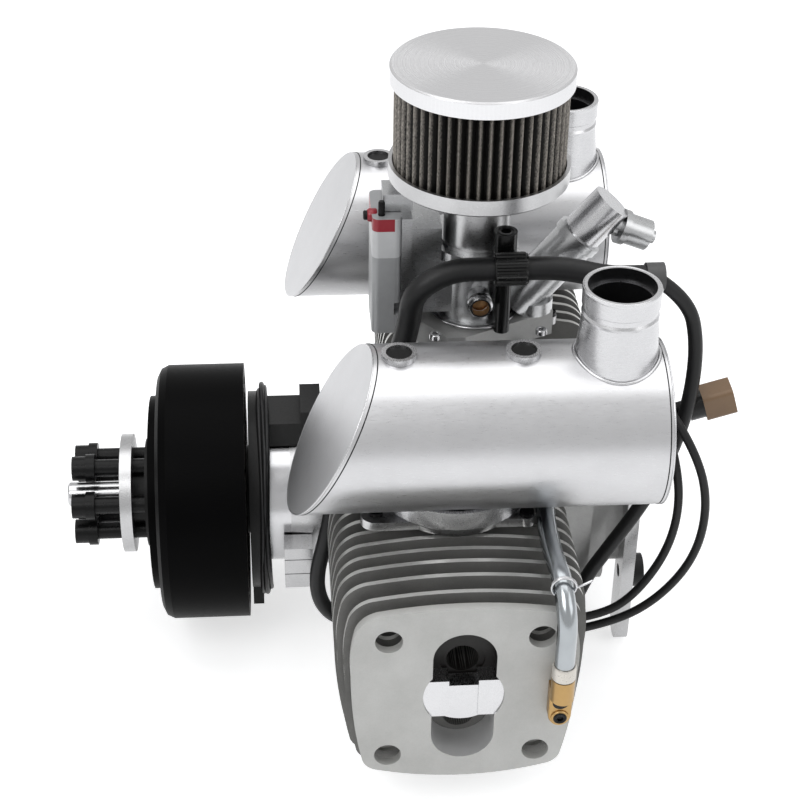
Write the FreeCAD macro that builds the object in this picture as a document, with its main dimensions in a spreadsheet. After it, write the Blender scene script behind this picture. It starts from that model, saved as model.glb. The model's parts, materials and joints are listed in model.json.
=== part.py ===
import FreeCAD, Part
import math
import os
import Sketcher

V = FreeCAD.Vector

# Flat twin two-stroke engine with twin mufflers, throttle body and nose generator.
# Row frame: +X runs along the crankshaft towards the rear mounting plane, +Z is up,
# and the origin is where the crankshaft axis meets the rear mounting plane.
# All lengths are millimetres and all angles are degrees.

SIZES = {
    # stack of parts along the crankshaft, from the mounting plane forwards
    "isolator_length": 5.0,
    "plate_thickness": 6.0,
    "rear_cover_length": 17.0,
    "front_cover_length": 31.0,
    "nose_ring_length": 13.9,
    "stator_plate_thickness": 5.0,
    "drum_gap": 1.6,
    "drum_length": 40.5,
    "drum_step_length": 4.0,
    "hub_flange_thickness": 2.8,
    "prop_gap": 6.0,
    "prop_washer_thickness": 5.4,
    # fits
    "seat_gap": 0.05,
    "shaft_gap": 0.05,
    "face_gap": 0.4,
    # crankcase
    "case_half_width": 44.0,
    "case_half_height": 46.0,
    "case_chamfer": 14.0,
    "case_top": 56.0,
    "case_top_half_length": 36.0,
    "case_top_half_width": 30.0,
    "case_pad_half": 38.0,
    "chamber_radius": 41.0,
    "chamber_half_length": 32.0,
    # crank train
    "crank_throw": 19.0,
    "journal_radius": 12.5,
    "web_radius": 33.0,
    "web_thickness": 7.6,
    "crankpin_radius": 7.5,
    "rod_width": 14.0,
    "rod_length": 75.5,
    "big_end_radius": 11.5,
    "small_end_radius": 10.5,
    "shank_width": 11.0,
    "shank_thickness": 6.0,
    "wrist_pin_radius": 7.0,
    "wrist_pin_length": 50.0,
    "piston_length": 38.0,
    "piston_crown": 6.0,
    "piston_wall": 4.0,
    "compression_height": 18.0,
    "bore_radius": 29.5,
    "piston_clearance": 0.1,
    "ring_height": 1.5,
    "ring_depth": 2.4,
    "bearing_radius": 23.5,
    "bearing_length": 14.0,
    "bearing_race": 3.0,
    "ball_radius": 2.4,
    "ball_count": 9,
    # cylinders, measured outwards from the crankshaft axis
    "cylinder_offset": 16.0,
    "spigot_start": 40.0,
    "cylinder_seat": 48.0,
    "base_flange_thickness": 6.0,
    "head_face": 150.3,
    "spigot_radius": 33.0,
    "core_radius": 35.0,
    "chamber_roof": 121.0,
    "dome_radius": 24.0,
    "face_thickness": 4.0,
    "fin_pitch": 8.2,
    "fin_thickness": 2.2,
    "plain_fins": 8,
    "fin_growth_first": 2.5,
    "fin_growth_second": 5.0,
    "fin_growth_rest": 6.0,
    "crest_share": 0.75,
    "stud_spacing": 63.0,
    "access_radius": 5.75,
    "stud_radius": 3.0,
    "stud_head_radius": 5.0,
    "stud_head_height": 6.0,
    "stud_depth": 12.0,
    # outline of the head face, half widths and heights
    "top_half": 35.7,
    "top_edge": 44.5,
    "shoulder_half": 45.6,
    "shoulder_edge": 34.5,
    "waist_half": 47.0,
    "waist_edge": 12.0,
    "foot_half": 42.2,
    "foot_edge": 34.3,
    "base_half": 36.7,
    "base_edge": 39.8,
    "crown_arc": 207.0,
    "corner_arc": 12.5,
    "upper_side_arc": 70.0,
    "lower_side_arc": 218.0,
    "foot_arc": 8.0,
    "base_arc": 137.0,
    # plug wells and the turned insert between them
    "well_radius": 13.25,
    "well_spacing": 20.8,
    "well_wall": 3.5,
    "upper_well_depth": 9.4,
    "lower_well_depth": 16.6,
    "upper_plug_height": 12.6,
    "lower_plug_height": 24.8,
    "plug_bore_radius": 6.8,
    "plug_relief_radius": 9.5,
    "plug_relief_depth": 0.8,
    "insert_radius": 17.0,
    "insert_thickness": 4.0,
    "insert_flat": 2.5,
    "insert_bar_top": 8.2,
    "insert_bar_bottom": 11.0,
    "insert_bar_inset": 0.8,
    "insert_slot_half": 6.2,
    "insert_slot_depth": 0.9,
    "insert_notch": 5.0,
    # exhaust duct and mufflers
    "port_distance": 80.7,
    "duct_radius": 21.0,
    "port_radius": 14.0,
    "muffler_clearance": 2.3,
    "flange_thickness": 4.2,
    "flange_radius": 29.0,
    "ear_front": 34.0,
    "ear_front_side": 17.5,
    "ear_rear": 29.6,
    "ear_rear_side": 21.2,
    "ear_rear_radius": 3.4,
    "ear_radius": 6.5,
    "ear_bolt_radius": 1.9,
    "saddle_radius": 33.2,
    "saddle_height": 10.5,
    "saddle_wall": 2.0,
    "muffler_radius": 35.0,
    "muffler_wall": 1.5,
    "muffler_distance": 88.6,
    "muffler_height": 94.8,
    "muffler_rear": 68.9,
    "muffler_front": 69.3,
    "muffler_rake": 27.0,
    "muffler_cap": 2.0,
    "far_muffler_shift": 2.5,
    "stack_place": 48.5,
    "stack_top": 160.5,
    "stack_foot_radius": 17.6,
    "stack_neck_radius": 15.2,
    "stack_wall": 1.2,
    "collar_radius": 15.9,
    "collar_height": 8.0,
    "bead_height": 0.6,
    "liner_radius": 12.8,
    "liner_length": 24.0,
    "liner_drop": 6.0,
    "front_plug_place": 40.5,
    "rear_plug_place": 10.4,
    "plug_ring_radius": 7.3,
    "plug_ring_height": 2.0,
    "plug_cap_radius": 5.3,
    "plug_cap_depth": 8.0,
    # intake, throttle body and filter
    "manifold_half_length": 24.0,
    "manifold_half_width": 18.0,
    "manifold_wall": 4.0,
    "throttle_base_bottom": 86.0,
    "throttle_base_top": 98.0,
    "base_rear_tip": 36.0,
    "base_front_tip": 29.0,
    "base_side_tip": 25.0,
    "base_tip_half": 4.0,
    "throttle_outer": 16.5,
    "throttle_foot": 18.5,
    "throttle_foot_height": 2.5,
    "throttle_bore": 13.0,
    "throttle_axis_height": 112.0,
    "flange_bottom": 130.0,
    "flange_top": 134.0,
    "flange_rim": 19.0,
    "neck_radius": 14.7,
    "neck_collar_radius": 16.4,
    "neck_collar_height": 4.0,
    "neck_wall": 1.6,
    "filter_bottom": 165.6,
    "filter_rim_height": 7.6,
    "filter_radius": 39.5,
    "filter_top": 217.6,
    "lid_height": 7.5,
    "pleat_count": 52,
    "pleat_outer": 38.2,
    "pleat_depth": 3.4,
    "pleat_wall": 8.0,
    # throttle spindle and its plate
    "spindle_radius": 3.5,
    "plate_clearance": 0.2,
    "butterfly_thickness": 1.2,
    # actuator in front of the throttle body
    "servo_front": 47.0,
    "servo_rear": 34.2,
    "servo_half_width": 14.0,
    "servo_bottom": 94.7,
    "servo_seam": 133.0,
    "servo_band_bottom": 146.0,
    "servo_top": 152.0,
    "arm_half_width": 12.0,
    "arm_bottom": 104.0,
    "arm_top": 146.0,
    "servo_flange_thickness": 4.5,
    # fuel pressure can behind the throttle body
    "can_tilt": 39.7,
    "can_foot_x": 27.0,
    "can_foot_z": 111.5,
    "can_tube_radius": 10.0,
    "can_tube_length": 27.0,
    "can_radius": 9.3,
    "can_length": 20.5,
    "can_collar_radius": 11.0,
    "can_collar_length": 4.0,
    "riser_radius": 9.5,
    # vent hose, its clamp and post
    "post_x": 10.5,
    "post_y": 19.0,
    "post_radius": 3.5,
    "post_cap_radius": 5.1,
    "post_cap_height": 10.5,
    "post_top": 148.0,
    "hose_radius": 5.2,
    "clamp_radius": 6.7,
    "clamp_length": 14.6,
    "clamp_y": 28.6,
    "clamp_z": 134.7,
    # rear sensor with its square connector
    "sensor_tilt": 17.0,
    "sensor_y": 30.0,
    "sensor_z": 48.0,
    "sensor_stem_radius": 3.6,
    "sensor_stem_length": 36.0,
    "sensor_thread_length": 8.0,
    "sensor_collar_length": 7.0,
    "sensor_cap_length": 14.0,
    "sensor_cap_half": 6.6,
    # head temperature sender
    "sender_x": 24.0,
    "sender_tube_radius": 4.15,
    "ferrule_radius": 5.2,
    "lug_width": 11.0,
    "lug_thickness": 3.4,
    "lug_top": 20.0,
    "lug_bottom": 13.0,
    # generator and propeller hub
    "drum_radius": 60.5,
    "drum_wall": 5.6,
    "drum_web": 6.0,
    "drum_step_radius": 46.0,
    "magnet_thickness": 3.4,
    "magnet_count": 12,
    "stator_radius": 50.6,
    "stator_bore": 21.0,
    "stator_teeth": 12,
    "stator_length": 26.0,
    "stator_plate_radius": 47.0,
    "nose_radius": 34.0,
    "cover_root_radius": 42.0,
    "hub_radius": 25.6,
    "hub_boss_radius": 16.0,
    "nose_shaft_radius": 9.0,
    "prop_washer_radius": 28.2,
    "prop_circle_radius": 18.0,
    "prop_bolt_radius": 4.0,
    "prop_bolt_count": 6,
    "prop_bolt_angle": 42.0,
    "bolt_head_radius": 5.75,
    "bolt_head_length": 6.4,
    "bolt_flange_radius": 6.7,
    "bolt_flange_length": 4.2,
    "bolt_tip": 186.9,
    "pilot_radius": 5.8,
    "pilot_tip": 190.4,
    "pilot_tail_radius": 5.0,
    # rear mounting plate
    "isolator_spacing_y": 68.0,
    "isolator_spacing_z": 60.0,
    "isolator_radius": 8.0,
    "mount_hole_radius": 3.2,
    "leg_width": 16.0,
    "leg_bottom": 70.0,
    "leg_top": 40.0,
    "plate_web_half": 24.0,
    "rear_cover_radius": 38.0,
    # wall of the exhaust and intake details
    "rim_edge": 0.8,
    "base_lean": 10.0,
    "lug_tip_half": 5.0,
    "bracket_length": 13.0,
    "bracket_front": 42.0,
    "bracket_height": 8.0,
    "port_sensor_face": 22.0,
    "port_sensor_proud": 4.6,
    "port_sensor_radius": 5.2,
    "port_sensor_wall": 1.4,
    "port_sensor_height": 113.9,
    "riser_step": 6.0,
    "riser_x": 26.5,
    "arm_step": 10.0,
    "arm_recess": 13.5,
    "servo_corner": 3.0,
    "servo_window": 6.0,
    "servo_window_height": 104.0,
    "fitting_neck": 5.0,
    "fitting_gap": 3.0,
    "fitting_washer": 8.0,
    "fitting_disc": 3.0,
    "fitting_barrel": 7.0,
    "fitting_length": 17.0,
    "fitting_tip": 3.0,
    "fitting_turn": 72.0,
    "post_socket": 2.4,
    "clamp_shift": 1.5,
    "lead_radius": 3.3,
    "thin_lead_radius": 2.0,
    "lead_boss_top": 50.0,
    "lead_block_length": 11.0,
    "lead_block_rear": 50.0,
    "lead_block_top": 34.0,
    "lead_block_height": 16.0,
    "lead_block_reach": 64.0,
    "joiner_length": 8.0,
    "lead_drop": 124.5,
    "lead_rise": 15.5,
    "joiner_wall": 1.0,
    "stub_radius": 7.0,
    "gland_wall": 2.5,
    "sender_reach": 157.0,
    "ferrule_top": 22.0,
    "ferrule_bottom": 9.0,
    "bulge_depth": 52.0,
    "stator_yoke": 6.0,
    "stator_shoe": 3.5,
    "tooth_width": 6.0,
    "tooth_gap": 3.0,
    "coil_width": 9.5,
    "drum_edge": 5.0,
    # clamp blocks on the front cover
    "block_length": 13.0,
    "block_width": 14.0,
    "block_height": 8.2,
    "block_top": 1.0,
    "block_forward": 4.0,
    "block_reach": 46.0,
    "sensor_box_length": 17.5,
    "sensor_box_top": 45.4,
    "sensor_box_half_width": 12.0,
    "sensor_step_length": 9.5,
    "sensor_set_back": 1.9,
    "sensor_step_top": 51.5,
    "piston_top_land": 4.0,
}

doc = FreeCAD.newDocument("flat_twin_engine")
sheet = doc.addObject("Spreadsheet::Sheet", "sizes")


class Size:
    """A length, angle or count, with the sheet expression that it comes from."""

    def __init__(self, value, text):
        self.value = float(value)
        self.text = text

    def __add__(self, other):
        other = size(other)
        return Size(self.value + other.value, f"({self.text} + {other.text})")

    def __radd__(self, other):
        return size(other) + self

    def __sub__(self, other):
        other = size(other)
        return Size(self.value - other.value, f"({self.text} - {other.text})")

    def __rsub__(self, other):
        return size(other) - self

    def __mul__(self, other):
        other = size(other)
        return Size(self.value * other.value, f"({self.text} * {other.text})")

    def __rmul__(self, other):
        return size(other) * self

    def __truediv__(self, other):
        other = size(other)
        return Size(self.value / other.value, f"({self.text} / {other.text})")

    def __neg__(self):
        return Size(-self.value, f"(0 - {self.text})")


def size(amount):
    """Turns a plain number into a Size, and leaves a Size as it is."""
    if isinstance(amount, Size):
        return amount
    return Size(amount, repr(float(amount)))


def sine(angle):
    angle = size(angle)
    return Size(math.sin(math.radians(angle.value)), f"sin({angle.text})")


def cosine(angle):
    angle = size(angle)
    return Size(math.cos(math.radians(angle.value)), f"cos({angle.text})")


def tangent(angle):
    angle = size(angle)
    return Size(math.tan(math.radians(angle.value)), f"tan({angle.text})")


def root(amount):
    amount = size(amount)
    return Size(math.sqrt(amount.value), f"sqrt({amount.text})")


class Sizes:
    """Reads a named size from the sheet as a Size."""

    def __getattr__(self, name):
        return Size(sheet.get(name), f"sizes.{name}")


def fill_sheet():
    for row, (name, amount) in enumerate(SIZES.items(), start=1):
        sheet.set(f"A{row}", name)
        sheet.set(f"B{row}", repr(amount))
        sheet.setAlias(f"B{row}", name)
    doc.recompute()


fill_sheet()
S = Sizes()
ZERO = size(0.0)

# Turns from a piece's own frame, where it is drawn along +Z, into the row frame.
UPRIGHT = FreeCAD.Rotation()
ALONG_X = FreeCAD.Rotation(V(0, 1, 0), 90)
OUT_NEAR = FreeCAD.Rotation(V(1, 0, 0), 90)
OUT_FAR = FreeCAD.Rotation(V(0, 0, 1), 180) * OUT_NEAR
ALONG_Y = FreeCAD.Rotation(V(1, 0, 0), -90)
DOWN_WEDGE = FreeCAD.Rotation(V(0, 1, 0), 90)

NEAR, FAR = -1, 1
SIDES = {"near": NEAR, "far": FAR}
OUTWARDS = {NEAR: OUT_NEAR, FAR: OUT_FAR}

# Long axis of the throttle body's flange, from its bore towards the hose post.
POST_ANGLE = math.degrees(math.atan2(-SIZES["post_y"], SIZES["post_x"]))
TO_POST = FreeCAD.Rotation(V(0, 0, 1), POST_ANGLE)

# Stations along the crankshaft, each from the one behind it.
CASE_REAR = -(S.isolator_length + S.plate_thickness + S.rear_cover_length)
CASE_LENGTH = (S.cylinder_offset + S.case_pad_half) * 2
CASE_X = CASE_REAR - CASE_LENGTH / 2
CASE_FRONT = CASE_REAR - CASE_LENGTH
COVER_FRONT = CASE_FRONT - S.front_cover_length
RING_FRONT = COVER_FRONT - S.nose_ring_length
STATOR_PLATE_FRONT = RING_FRONT - S.stator_plate_thickness
DRUM_REAR = STATOR_PLATE_FRONT - S.drum_gap
DRUM_FRONT = DRUM_REAR - S.drum_length
STEP_FRONT = DRUM_FRONT - S.drum_step_length
HUB_FRONT = STEP_FRONT - S.hub_flange_thickness
WASHER_REAR = HUB_FRONT - S.prop_gap
WASHER_FRONT = WASHER_REAR - S.prop_washer_thickness

nodes = {}


def keep(obj, node):
    """Marks an object as a finished sub-part under the name of its node."""
    obj.Label = node
    nodes[node] = obj
    return obj


def put(obj, x=ZERO, y=ZERO, z=ZERO, turn=UPRIGHT):
    """Places an object, with each coordinate bound to the sheet."""
    places = [size(amount) for amount in (x, y, z)]
    obj.Placement = FreeCAD.Placement(V(*[p.value for p in places]), turn)
    for axis, place in zip("xyz", places):
        obj.setExpression(f"Placement.Base.{axis}", place.text)
    return obj


def bind(obj, **sizes_by_property):
    for prop, amount in sizes_by_property.items():
        obj.setExpression(prop, size(amount).text)
    return obj


counter = {"made": 0}


def fresh(word):
    """A document name that no other object has."""
    counter["made"] += 1
    return f"{word}_{counter['made']}"


# ---- primitives and booleans ----


def cylinder(radius, length, x=ZERO, y=ZERO, z=ZERO, turn=UPRIGHT):
    obj = doc.addObject("Part::Cylinder", fresh("cylinder"))
    bind(obj, Radius=radius, Height=length)
    return put(obj, x, y, z, turn)


def block(length, width, height, x=ZERO, y=ZERO, z=ZERO, turn=UPRIGHT):
    """A box with its lowest corner at x, y, z in its own frame."""
    obj = doc.addObject("Part::Box", fresh("block"))
    bind(obj, Length=length, Width=width, Height=height)
    return put(obj, x, y, z, turn)


def middle_block(length, width, height, x=ZERO, y=ZERO, z=ZERO):
    """A box centred on x and y that stands on z."""
    return block(length, width, height, x - length / 2, y - width / 2, z)


def sphere(radius, x=ZERO, y=ZERO, z=ZERO):
    obj = doc.addObject("Part::Sphere", fresh("sphere"))
    bind(obj, Radius=radius)
    return put(obj, x, y, z)


def fuse(*parts):
    if len(parts) == 1:
        return parts[0]
    obj = doc.addObject("Part::MultiFuse", fresh("fuse"))
    obj.Shapes = list(parts)
    return obj


def cut(base, *tools):
    obj = doc.addObject("Part::Cut", fresh("cut"))
    obj.Base = base
    obj.Tool = fuse(*tools)
    return obj


def common(base, tool):
    obj = doc.addObject("Part::Common", fresh("common"))
    obj.Base = base
    obj.Tool = tool
    return obj


def group(*parts):
    """Separate solids that share one node, such as a set of bolts."""
    obj = doc.addObject("Part::Compound", fresh("group"))
    obj.Links = list(parts)
    return obj


# ---- sketches and the features made from them ----


def origin_plane(body, role):
    return next(f for f in body.Origin.OriginFeatures if f.Role == role)


def new_sketch(body, role, offset=None):
    drawing = body.newObject("Sketcher::SketchObject", fresh("sketch"))
    drawing.AttachmentSupport = [(origin_plane(body, role), "")]
    drawing.MapMode = "FlatFace"
    if offset is not None:
        drawing.setExpression("AttachmentOffset.Base.z", size(offset).text)
    return drawing


def pin_point(drawing, geometry, vertex, x, y):
    """Holds a point of the sketch at x, y from the sketch's origin."""
    for kind, axis, amount in (("DistanceX", -2, x), ("DistanceY", -1, y)):
        amount = size(amount)
        if amount.text == ZERO.text:
            drawing.addConstraint(Sketcher.Constraint("PointOnObject", geometry, vertex, axis))
        else:
            rule = Sketcher.Constraint(kind, -1, 1, geometry, vertex, amount.value)
            index = drawing.addConstraint(rule)
            drawing.setExpression(f"Constraints[{index}]", amount.text)


def arc_through(start, end, radius):
    """The shorter arc from start to end that bulges to the right of the way it runs."""
    chord = end - start
    half = chord.Length / 2
    depth = radius - math.sqrt(max(radius * radius - half * half, 0.0))
    side = V(chord.y, -chord.x, 0)
    side.normalize()
    return Part.Arc(start, (start + end) * 0.5 + side * depth, end)


def draw_outline(drawing, points):
    """A closed outline. Each point is x, y and, for an arc to the next point, its radius
    or ("cx", place) or ("cy", place) for a half round with its centre at that coordinate."""
    corners = [V(size(p[0]).value, size(p[1]).value, 0) for p in points]
    first = drawing.GeometryCount
    count = len(points)
    for i, point in enumerate(points):
        start, end = corners[i], corners[(i + 1) % count]
        if len(point) == 2:
            drawing.addGeometry(Part.LineSegment(start, end), False)
        elif isinstance(point[2], tuple):
            drawing.addGeometry(arc_through(start, end, (end - start).Length / 2), False)
        else:
            drawing.addGeometry(arc_through(start, end, size(point[2]).value), False)
    ends = []
    for i in range(count):
        geometry = drawing.Geometry[first + i]
        near_start = (geometry.StartPoint - corners[i]).Length < 1e-6
        ends.append((1, 2) if near_start else (2, 1))
    for i in range(count):
        following = (i + 1) % count
        rule = ("Coincident", first + i, ends[i][1], first + following, ends[following][0])
        drawing.addConstraint(Sketcher.Constraint(*rule))
    for i, point in enumerate(points):
        pin_point(drawing, first + i, ends[i][0], point[0], point[1])
        if len(point) == 3:
            hold_arc(drawing, first + i, point[2])


def hold_arc(drawing, geometry, rule):
    if isinstance(rule, tuple):
        kind = "DistanceX" if rule[0] == "cx" else "DistanceY"
        axis = -2 if rule[0] == "cx" else -1
        place = size(rule[1])
        if place.text == ZERO.text:
            drawing.addConstraint(Sketcher.Constraint("PointOnObject", geometry, 3, axis))
            return
        index = drawing.addConstraint(Sketcher.Constraint(kind, -1, 1, geometry, 3, place.value))
        drawing.setExpression(f"Constraints[{index}]", place.text)
        return
    radius = size(rule)
    index = drawing.addConstraint(Sketcher.Constraint("Radius", geometry, radius.value))
    drawing.setExpression(f"Constraints[{index}]", radius.text)


def draw_circle(drawing, x, y, radius):
    centre = V(size(x).value, size(y).value, 0)
    geometry = drawing.addGeometry(Part.Circle(centre, V(0, 0, 1), size(radius).value), False)
    pin_point(drawing, geometry, 3, x, y)
    index = drawing.addConstraint(Sketcher.Constraint("Radius", geometry, size(radius).value))
    drawing.setExpression(f"Constraints[{index}]", size(radius).text)


def new_body(word):
    return doc.addObject("PartDesign::Body", fresh(word))


def add_turned(body, points):
    """Revolves an outline of (radius, along) points about the body's own Z axis."""
    drawing = new_sketch(body, "XZ_Plane")
    draw_outline(drawing, points)
    feature = body.newObject("PartDesign::Revolution", fresh("turned"))
    feature.Profile = drawing
    feature.ReferenceAxis = (drawing, ["V_Axis"])
    feature.Angle = 360
    return feature


def add_pad(body, start, length, outline=None, circles=()):
    """Pads an outline, or circles, along the body's own +Z from start."""
    drawing = new_sketch(body, "XY_Plane", start)
    if outline is not None:
        draw_outline(drawing, outline)
    for x, y, radius in circles:
        draw_circle(drawing, x, y, radius)
    feature = body.newObject("PartDesign::Pad", fresh("pad"))
    feature.Profile = drawing
    bind(feature, Length=length)
    return feature


def add_pocket(body, start, length, outline=None, circles=()):
    """Cuts an outline, or circles, from start along the body's own +Z."""
    drawing = new_sketch(body, "XY_Plane", start)
    if outline is not None:
        draw_outline(drawing, outline)
    for x, y, radius in circles:
        draw_circle(drawing, x, y, radius)
    feature = body.newObject("PartDesign::Pocket", fresh("pocket"))
    feature.Profile = drawing
    feature.Reversed = True
    bind(feature, Length=length)
    return feature


def turned(points, x=ZERO, y=ZERO, z=ZERO, turn=UPRIGHT):
    body = new_body("turned_body")
    add_turned(body, points)
    return put(body, x, y, z, turn)


def padded(start, length, outline=None, circles=(), x=ZERO, y=ZERO, z=ZERO, turn=UPRIGHT):
    body = new_body("padded_body")
    add_pad(body, start, length, outline, circles)
    return put(body, x, y, z, turn)


def ring(inner, outer, start, end, x=ZERO, y=ZERO, z=ZERO, turn=UPRIGHT):
    """A plain turned sleeve from start to end along its axis."""
    profile = [(inner, start), (outer, start), (outer, end), (inner, end)]
    return turned(profile, x, y, z, turn)


def stadium(half_width, half_spacing):
    """An upright slot: two half rounds joined by straight sides."""
    return [
        (half_width, -half_spacing),
        (half_width, half_spacing, ("cy", half_spacing)),
        (-half_width, half_spacing),
        (-half_width, -half_spacing, ("cy", -half_spacing)),
    ]


def rectangle(half_x, half_y, x=ZERO, y=ZERO):
    return [
        (x - half_x, y - half_y),
        (x + half_x, y - half_y),
        (x + half_x, y + half_y),
        (x - half_x, y + half_y),
    ]


def rounded_rectangle(half_x, half_y, corner, x=ZERO, y=ZERO):
    return [
        (x - half_x + corner, y - half_y),
        (x + half_x - corner, y - half_y, corner),
        (x + half_x, y - half_y + corner),
        (x + half_x, y + half_y - corner, corner),
        (x + half_x - corner, y + half_y),
        (x - half_x + corner, y + half_y, corner),
        (x - half_x, y + half_y - corner),
        (x - half_x, y - half_y + corner, corner),
    ]


def corners(half_x, half_y):
    """The four corners of a bolt rectangle."""
    return [(i * half_x, j * half_y) for i in (-1, 1) for j in (-1, 1)]


# ---- places worked out from the sizes ----

PISTON_TOP = S.crank_throw + S.rod_length + S.compression_height
WRIST = S.crank_throw + S.rod_length
PIN_GAP = S.rod_width / 2 + S.face_gap
FRONT_WEB_REAR = -S.cylinder_offset - PIN_GAP
REAR_WEB_FRONT = S.cylinder_offset + PIN_GAP
CENTRE_WEB_HALF = S.cylinder_offset - PIN_GAP
BEARING_INNER = S.journal_radius + S.shaft_gap
UPPER_FLOOR = S.head_face - S.upper_well_depth
LOWER_FLOOR = S.head_face - S.lower_well_depth
BORE_CLEAR = S.spigot_radius + S.seat_gap
DUCT_TOP = S.muffler_height - S.muffler_radius - S.muffler_clearance - S.flange_thickness


def cylinder_x(side):
    return CASE_X + side * S.cylinder_offset


def muffler_shift(side):
    return S.far_muffler_shift if side == FAR else ZERO


# ---- crankcase and its covers ----


def octagon(half_x, half_y, chamfer):
    return [
        (half_x, chamfer - half_y),
        (half_x, half_y - chamfer),
        (half_x - chamfer, half_y),
        (chamfer - half_x, half_y),
        (-half_x, half_y - chamfer),
        (-half_x, chamfer - half_y),
        (chamfer - half_x, -half_y),
        (half_x - chamfer, -half_y),
    ]


def stud_holes(side, start, length, radius):
    """Four bores on the stud rectangle of one cylinder, drilled along its axis."""
    half = S.stud_spacing / 2
    return [
        put_out(cylinder(radius, length), side, u, v, start) for u, v in corners(half, half)
    ]


def put_out(obj, side, u=ZERO, v=ZERO, w=ZERO):
    """Places an upright object on a cylinder's axis: u along the case, v up, w outwards."""
    return put(obj, cylinder_x(side) - side * u, side * w, size(v), OUTWARDS[side])


def crankcase():
    barrel = padded(
        ZERO,
        CASE_LENGTH,
        octagon(S.case_half_height, S.case_half_width, S.case_chamfer),
        x=CASE_FRONT,
        turn=ALONG_X,
    )
    top = middle_block(S.case_top_half_length * 2, S.case_top_half_width * 2, S.case_top, CASE_X)
    solids = [barrel, top]
    for side in SIDES.values():
        pad = padded(ZERO, S.cylinder_seat, rounded_rectangle(S.case_pad_half, S.case_pad_half, S.foot_arc))
        solids.append(put_out(pad, side))
    hollow = [
        cylinder(S.chamber_radius, S.chamber_half_length * 2, CASE_X - S.chamber_half_length, turn=ALONG_X),
        cylinder(S.bearing_radius + S.seat_gap, CASE_LENGTH + 2, CASE_FRONT - 1, turn=ALONG_X),
        middle_block(S.throttle_bore * 2, S.throttle_bore * 1.6, S.case_top + 1, CASE_X),
    ]
    for side in SIDES.values():
        depth = S.cylinder_seat + 1
        pocket = cylinder(BORE_CLEAR, depth - S.spigot_start + S.face_gap)
        hollow.append(put_out(pocket, side, w=S.spigot_start - S.face_gap))
        skirt = PISTON_TOP - S.piston_length - S.crank_throw * 2 - S.face_gap * 3
        hollow.append(put_out(cylinder(S.bore_radius + S.face_gap, depth - skirt), side, w=skirt))
        start = S.cylinder_seat - S.stud_depth
        hollow += stud_holes(side, start, S.stud_depth + 1, S.stud_radius + S.seat_gap)
    x, y, z = ROUTES["vent_hose"][0]
    solids.append(cylinder(S.stub_radius, z, CASE_X + x, y))
    rear = CASE_X + S.lead_block_rear
    foot = -S.lead_block_top - S.lead_block_height
    solids.append(
        block(
            S.lead_block_length,
            S.lead_block_reach,
            S.lead_block_height,
            rear - S.lead_block_length,
            -S.lead_block_reach,
            foot,
        )
    )
    x, y, z = ROUTES["power_lead"][-1]
    bore = cylinder(S.lead_radius + S.face_gap, S.lead_block_height, z=-S.face_gap * 3)
    hollow.append(lean(bore, CASE_X + x, y, z, S.lead_rise))
    for node in ("sensor_lead", "trigger_lead"):
        x, y, z = ROUTES[node][-1]
        bore = cylinder(S.thin_lead_radius * 1.5, S.lead_block_length, CASE_X + x - 1, y, z, ALONG_X)
        hollow.append(bore)
        x, y, z = ROUTES[node][0]
        solids.append(cylinder(S.thin_lead_radius + S.gland_wall, S.lead_boss_top, CASE_X + x, y))
        hollow.append(cylinder(S.thin_lead_radius + S.seat_gap, S.lead_boss_top, CASE_X + x, y, z))
    keep(cut(fuse(*solids), *hollow), "crankcase")


def front_cover():
    bore = S.journal_radius + S.face_gap * 2
    profile = [
        (bore, ZERO),
        (bore, -S.front_cover_length),
        (S.nose_radius, -S.front_cover_length),
        (S.nose_radius + 1, -S.face_gap - S.front_cover_length / 2),
        (S.cover_root_radius, -S.plate_thickness),
        (S.cover_root_radius, ZERO),
    ]
    keep(turned(profile, CASE_FRONT, turn=ALONG_X), "front_cover")


def nose_ring():
    bore = S.journal_radius + S.face_gap * 2
    edge = S.face_gap * 2
    profile = [
        (bore, ZERO),
        (bore, -S.nose_ring_length),
        (S.nose_radius - edge, -S.nose_ring_length),
        (S.nose_radius, edge - S.nose_ring_length),
        (S.nose_radius, ZERO),
    ]
    keep(turned(profile, COVER_FRONT, turn=ALONG_X), "nose_ring")


def nose_blocks():
    """Three clamp blocks stacked on the near side of the front cover."""
    length, top = S.block_length, S.block_top
    start = COVER_FRONT + S.face_gap - S.block_forward
    round_wall = cylinder(
        S.nose_radius + 1 + S.seat_gap, S.front_cover_length + S.nose_ring_length, RING_FRONT, turn=ALONG_X
    )
    blocks = []
    level = -top
    for height in (S.block_height * 0.8, S.block_height, S.block_height):
        level = level - height
        blocks.append(
            block(length, S.block_width, height - S.face_gap, start, -S.block_reach, level)
        )
    keep(cut(group(*blocks), round_wall), "nose_blocks")


def sensor_box():
    """Trigger sensor housing that stands on the nose ring, in two steps."""
    half = S.sensor_box_half_width
    start = RING_FRONT + S.sensor_set_back
    low = block(S.sensor_box_length, half * 2, S.sensor_box_top, start, -half)
    high = block(S.sensor_step_length, half * 2, S.sensor_step_top, start + S.sensor_box_length, -half)
    wall = S.nose_radius + 1 + S.seat_gap
    bore = cylinder(wall, S.nose_ring_length + S.front_cover_length, RING_FRONT, turn=ALONG_X)
    keep(cut(fuse(low, high), bore), "sensor_box")


def rear_cover():
    body = new_body("rear_cover_body")
    half = S.rear_cover_radius
    add_pad(body, ZERO, S.rear_cover_length / 2, rounded_rectangle(half, half, S.case_chamfer))
    small = half - S.plate_thickness
    outline = rounded_rectangle(small, small, S.case_chamfer)
    add_pad(body, S.rear_cover_length / 2, S.rear_cover_length / 2, outline)
    keep(put(body, CASE_REAR, turn=ALONG_X), "rear_cover")


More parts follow.
